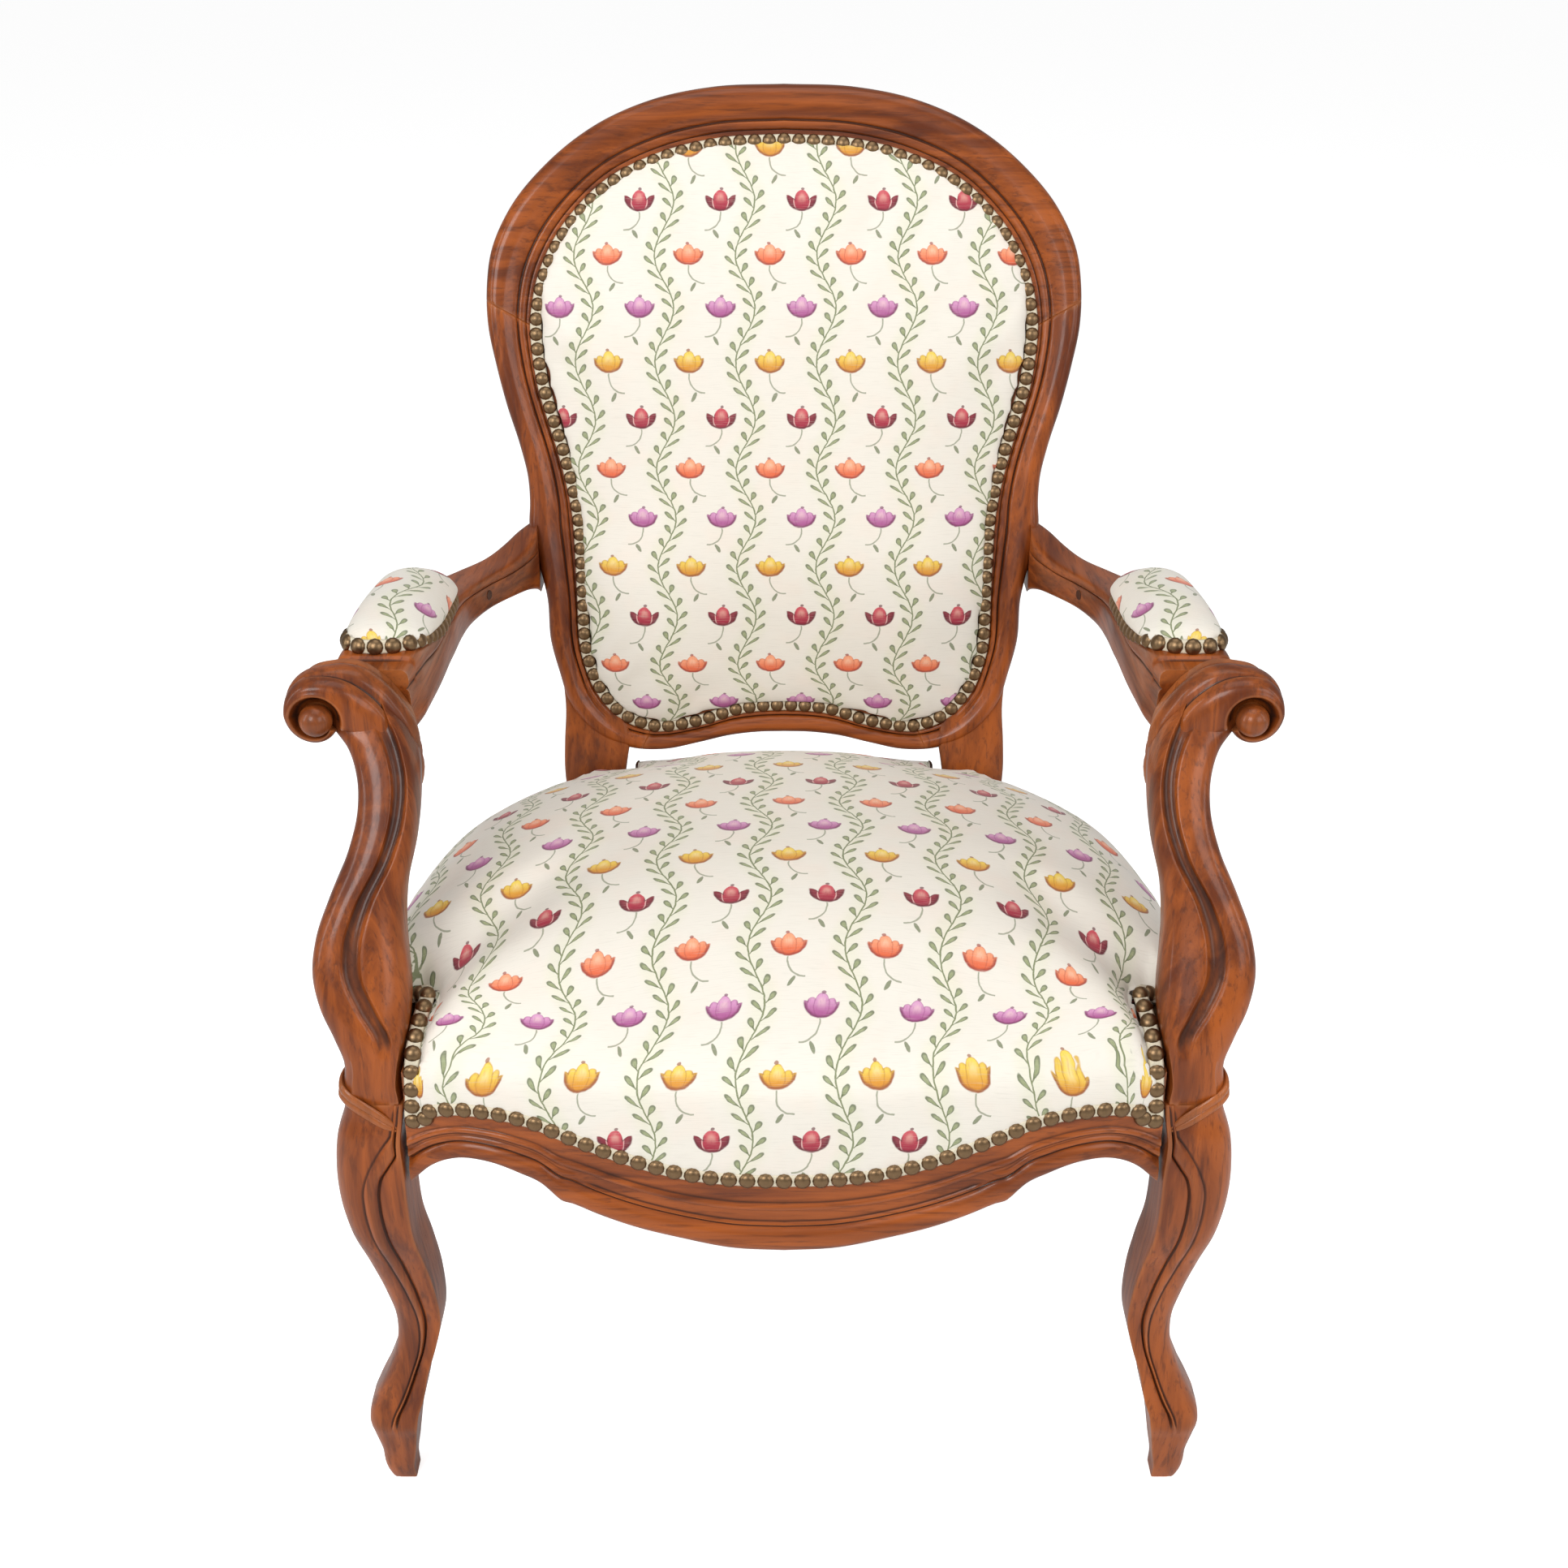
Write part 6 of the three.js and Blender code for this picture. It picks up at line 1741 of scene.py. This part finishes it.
class CHAIR_OT_upholstery(bpy.types.Operator):
    """Fills and covers the seat, the back and the arm pads"""

    bl_idname = "chair.upholstery"
    bl_label = "Upholstery"

    def execute(self, context):
        tree, data = outline_tree(seat_outline())
        bm = bmesh.new()
        skin(bm, seat_rings(), ring=True)
        bmesh.ops.recalc_face_normals(bm, faces=bm.faces)
        mesh = bpy.data.meshes.new("seat")
        bm.to_mesh(mesh)
        bm.free()
        seat = bpy.data.objects.new("seat", mesh)
        context.scene.collection.objects.link(seat)
        stuffed(seat, "seat_pad", cover_material("seat_cover", SEAT_PRINT), 0.006, seat_held, 0.005,
                seat_cloth(tree, data), smooth=26, trim=lambda made: cut_hem(made, tree, data))
        stuffed(solid_copy("back", "back_pad"), "back_pad", cover_material("back_cover", BACK_PRINT), 0.005,
                back_held, 0.012, back_cloth, smooth=8)
        for side in ("left", "right"):
            stuffed(solid_copy("armrest_pad_" + side, "arm_pad_" + side), "arm_pad_" + side,
                    cover_material("arm_cover", ARM_PRINT), 0.004, arm_pad_held, 0.005, arm_cloth, trim=fit_pad)
        stretched("outer_back_cloth", "outer_back", BACKWARDS, cover_material("outer_cover", BACK_PRINT),
                  hem=0.0016, lay=back_cloth)
        cambric = plain_material("cambric", (0.02, 0.018, 0.016), 0.95)
        jute = plain_material("jute", (0.36, 0.24, 0.12), 0.95)
        stretched("dust_sheet", "dust_cover", Vector((0, 0, -1)), cambric, cap=0.004)
        stretched("hessian_sheet", "seat_hessian", Vector((0, 0, 1)), jute, cap=0.001)
        stretched("seat_straps", "seat_webbing", Vector((0, 0, -1)), jute,
                  strap=STRAP_WIDTH)
        stretched("back_straps", "back_webbing", BACKWARDS, jute,
                  strap=STRAP_WIDTH)
        return {"FINISHED"}


class CHAIR_OT_nails(bpy.types.Operator):
    """Sets the brass nails along every edge of the cover"""

    bl_idname = "chair.nails"
    bl_label = "Nails"

    def execute(self, context):
        lines = {"back": back_nail_line(), "seat": seat_nail_line()}
        for side in ("left", "right"):
            lines["arm_" + side] = arm_nail_line(side)
        for name, line in lines.items():
            nails(name + "_nails", line)
            gimp(name + "_gimp", line)
        context.view_layer.update()
        nails("outer_back_nails", outer_nail_line())
        return {"FINISHED"}


class CHAIR_OT_hidden_parts(bpy.types.Operator):
    """Gives the parts that mostly stay out of sight their finishes"""

    bl_idname = "chair.hidden_parts"
    bl_label = "Hidden Parts"

    def execute(self, context):
        finishes = {
            "dowel": plain_material("beech", (0.55, 0.36, 0.19), 0.7, scale=120.0),
            "block": plain_material("beech", (0.55, 0.36, 0.19), 0.7, scale=120.0),
            "spring": plain_material("spring_wire", (0.45, 0.43, 0.40), 0.4, 0.9),
            "rear_rail": walnut("x"),
            "peg": walnut("x"),
        }
        for name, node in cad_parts.items():
            for word, material in finishes.items():
                if word in name:
                    node.data.materials.clear()
                    node.data.materials.append(material)
        return {"FINISHED"}


class CHAIR_OT_stage(bpy.types.Operator):
    """Sets the floor, the soft lights and the camera"""

    bl_idname = "chair.stage"
    bl_label = "Stage"

    def execute(self, context):
        bm = bmesh.new()
        bmesh.ops.create_grid(bm, x_segments=1, y_segments=1, size=30)
        mesh = bpy.data.meshes.new("floor")
        bm.to_mesh(mesh)
        bm.free()
        floor = bpy.data.objects.new("floor", mesh)
        context.scene.collection.objects.link(floor)
        material, g, shader = new_material("floor")
        shader.inputs["Base Color"].default_value = (0.9, 0.9, 0.9, 1)
        shader.inputs["Roughness"].default_value = 0.9
        shader.inputs["Specular IOR Level"].default_value = 0.1
        seen = g.tree.nodes.new("ShaderNodeLightPath").outputs["Is Camera Ray"]
        shader.inputs["Emission Color"].default_value = (1, 1, 1, 1)
        g.feed(shader.inputs["Emission Strength"], g.math("MULTIPLY", seen, 0.68))
        mesh.materials.append(material)
        world = bpy.data.worlds.new("studio")
        context.scene.world = world
        world.use_nodes = True
        world.node_tree.nodes["Background"].inputs[0].default_value = (1, 1, 1, 1)
        world.node_tree.nodes["Background"].inputs[1].default_value = 0.32
        for name, place, target, size, height, power in (
            ("key", (-1.3, -2.7, 2.3), (0, 0, 0.5), 1.3, 1.3, 54),
            ("fill", (1.9, -2.3, 1.9), (0, 0, 0.5), 1.5, 1.5, 26),
            ("top", (0, -0.2, 3.2), (0, 0, 0.4), 2.0, 2.0, 22),
            ("strip_left", (-2.3, -0.9, 1.5), (0, 0, 0.6), 0.4, 1.8, 15),
            ("strip_right", (2.3, -0.7, 1.5), (0, 0, 0.6), 0.4, 1.8, 9),
        ):
            light = bpy.data.lights.new(name, "AREA")
            light.shape = "RECTANGLE"
            light.size, light.size_y = size, height
            light.energy = power
            lamp = bpy.data.objects.new(name, light)
            context.scene.collection.objects.link(lamp)
            lamp.location = place
            lamp.rotation_euler = (Vector(target) - Vector(place)).to_track_quat("-Z", "Y").to_euler()
        camera = bpy.data.cameras.new("camera")
        camera.lens = 44.72
        camera.sensor_width = 36
        camera.clip_end = 100
        holder = bpy.data.objects.new("camera", camera)
        context.scene.collection.objects.link(holder)
        holder.location = at(0, -1388, 1157)
        holder.rotation_euler = (radians(90 - 27), 0, 0)
        context.scene.camera = holder
        context.scene.view_settings.view_transform = "Standard"
        return {"FINISHED"}


STEPS = [
    CHAIR_OT_back_frame, CHAIR_OT_seat_rails, CHAIR_OT_front_legs, CHAIR_OT_arm_supports,
    CHAIR_OT_arms, CHAIR_OT_upholstery, CHAIR_OT_nails, CHAIR_OT_hidden_parts, CHAIR_OT_stage,
]


class CHAIR_PT_panel(bpy.types.Panel):
    """Lists the steps that dress the chair"""

    bl_idname = "CHAIR_PT_panel"
    bl_label = "Open-arm Chair"
    bl_space_type = "VIEW_3D"
    bl_region_type = "UI"
    bl_category = "Chair"

    def draw(self, context):
        for group_of_settings in (context.scene.chair_sizes, context.scene.chair_colours):
            for name in group_of_settings.__annotations__:
                self.layout.prop(group_of_settings, name)
        for operator in STEPS:
            self.layout.operator(operator.bl_idname)


CLASSES = [ChairSizes, ChairColours, *STEPS, CHAIR_PT_panel]


def register():
    for item in CLASSES:
        bpy.utils.register_class(item)
    bpy.types.Scene.chair_sizes = PointerProperty(type=ChairSizes)
    bpy.types.Scene.chair_colours = PointerProperty(type=ChairColours)


def unregister():
    del bpy.types.Scene.chair_colours
    del bpy.types.Scene.chair_sizes
    for item in reversed(CLASSES):
        bpy.utils.unregister_class(item)


def main():
    register()
    for operator in STEPS:
        group_name, step_name = operator.bl_idname.split(".")
        getattr(getattr(bpy.ops, group_name), step_name)()


if __name__ == "__main__":
    main()
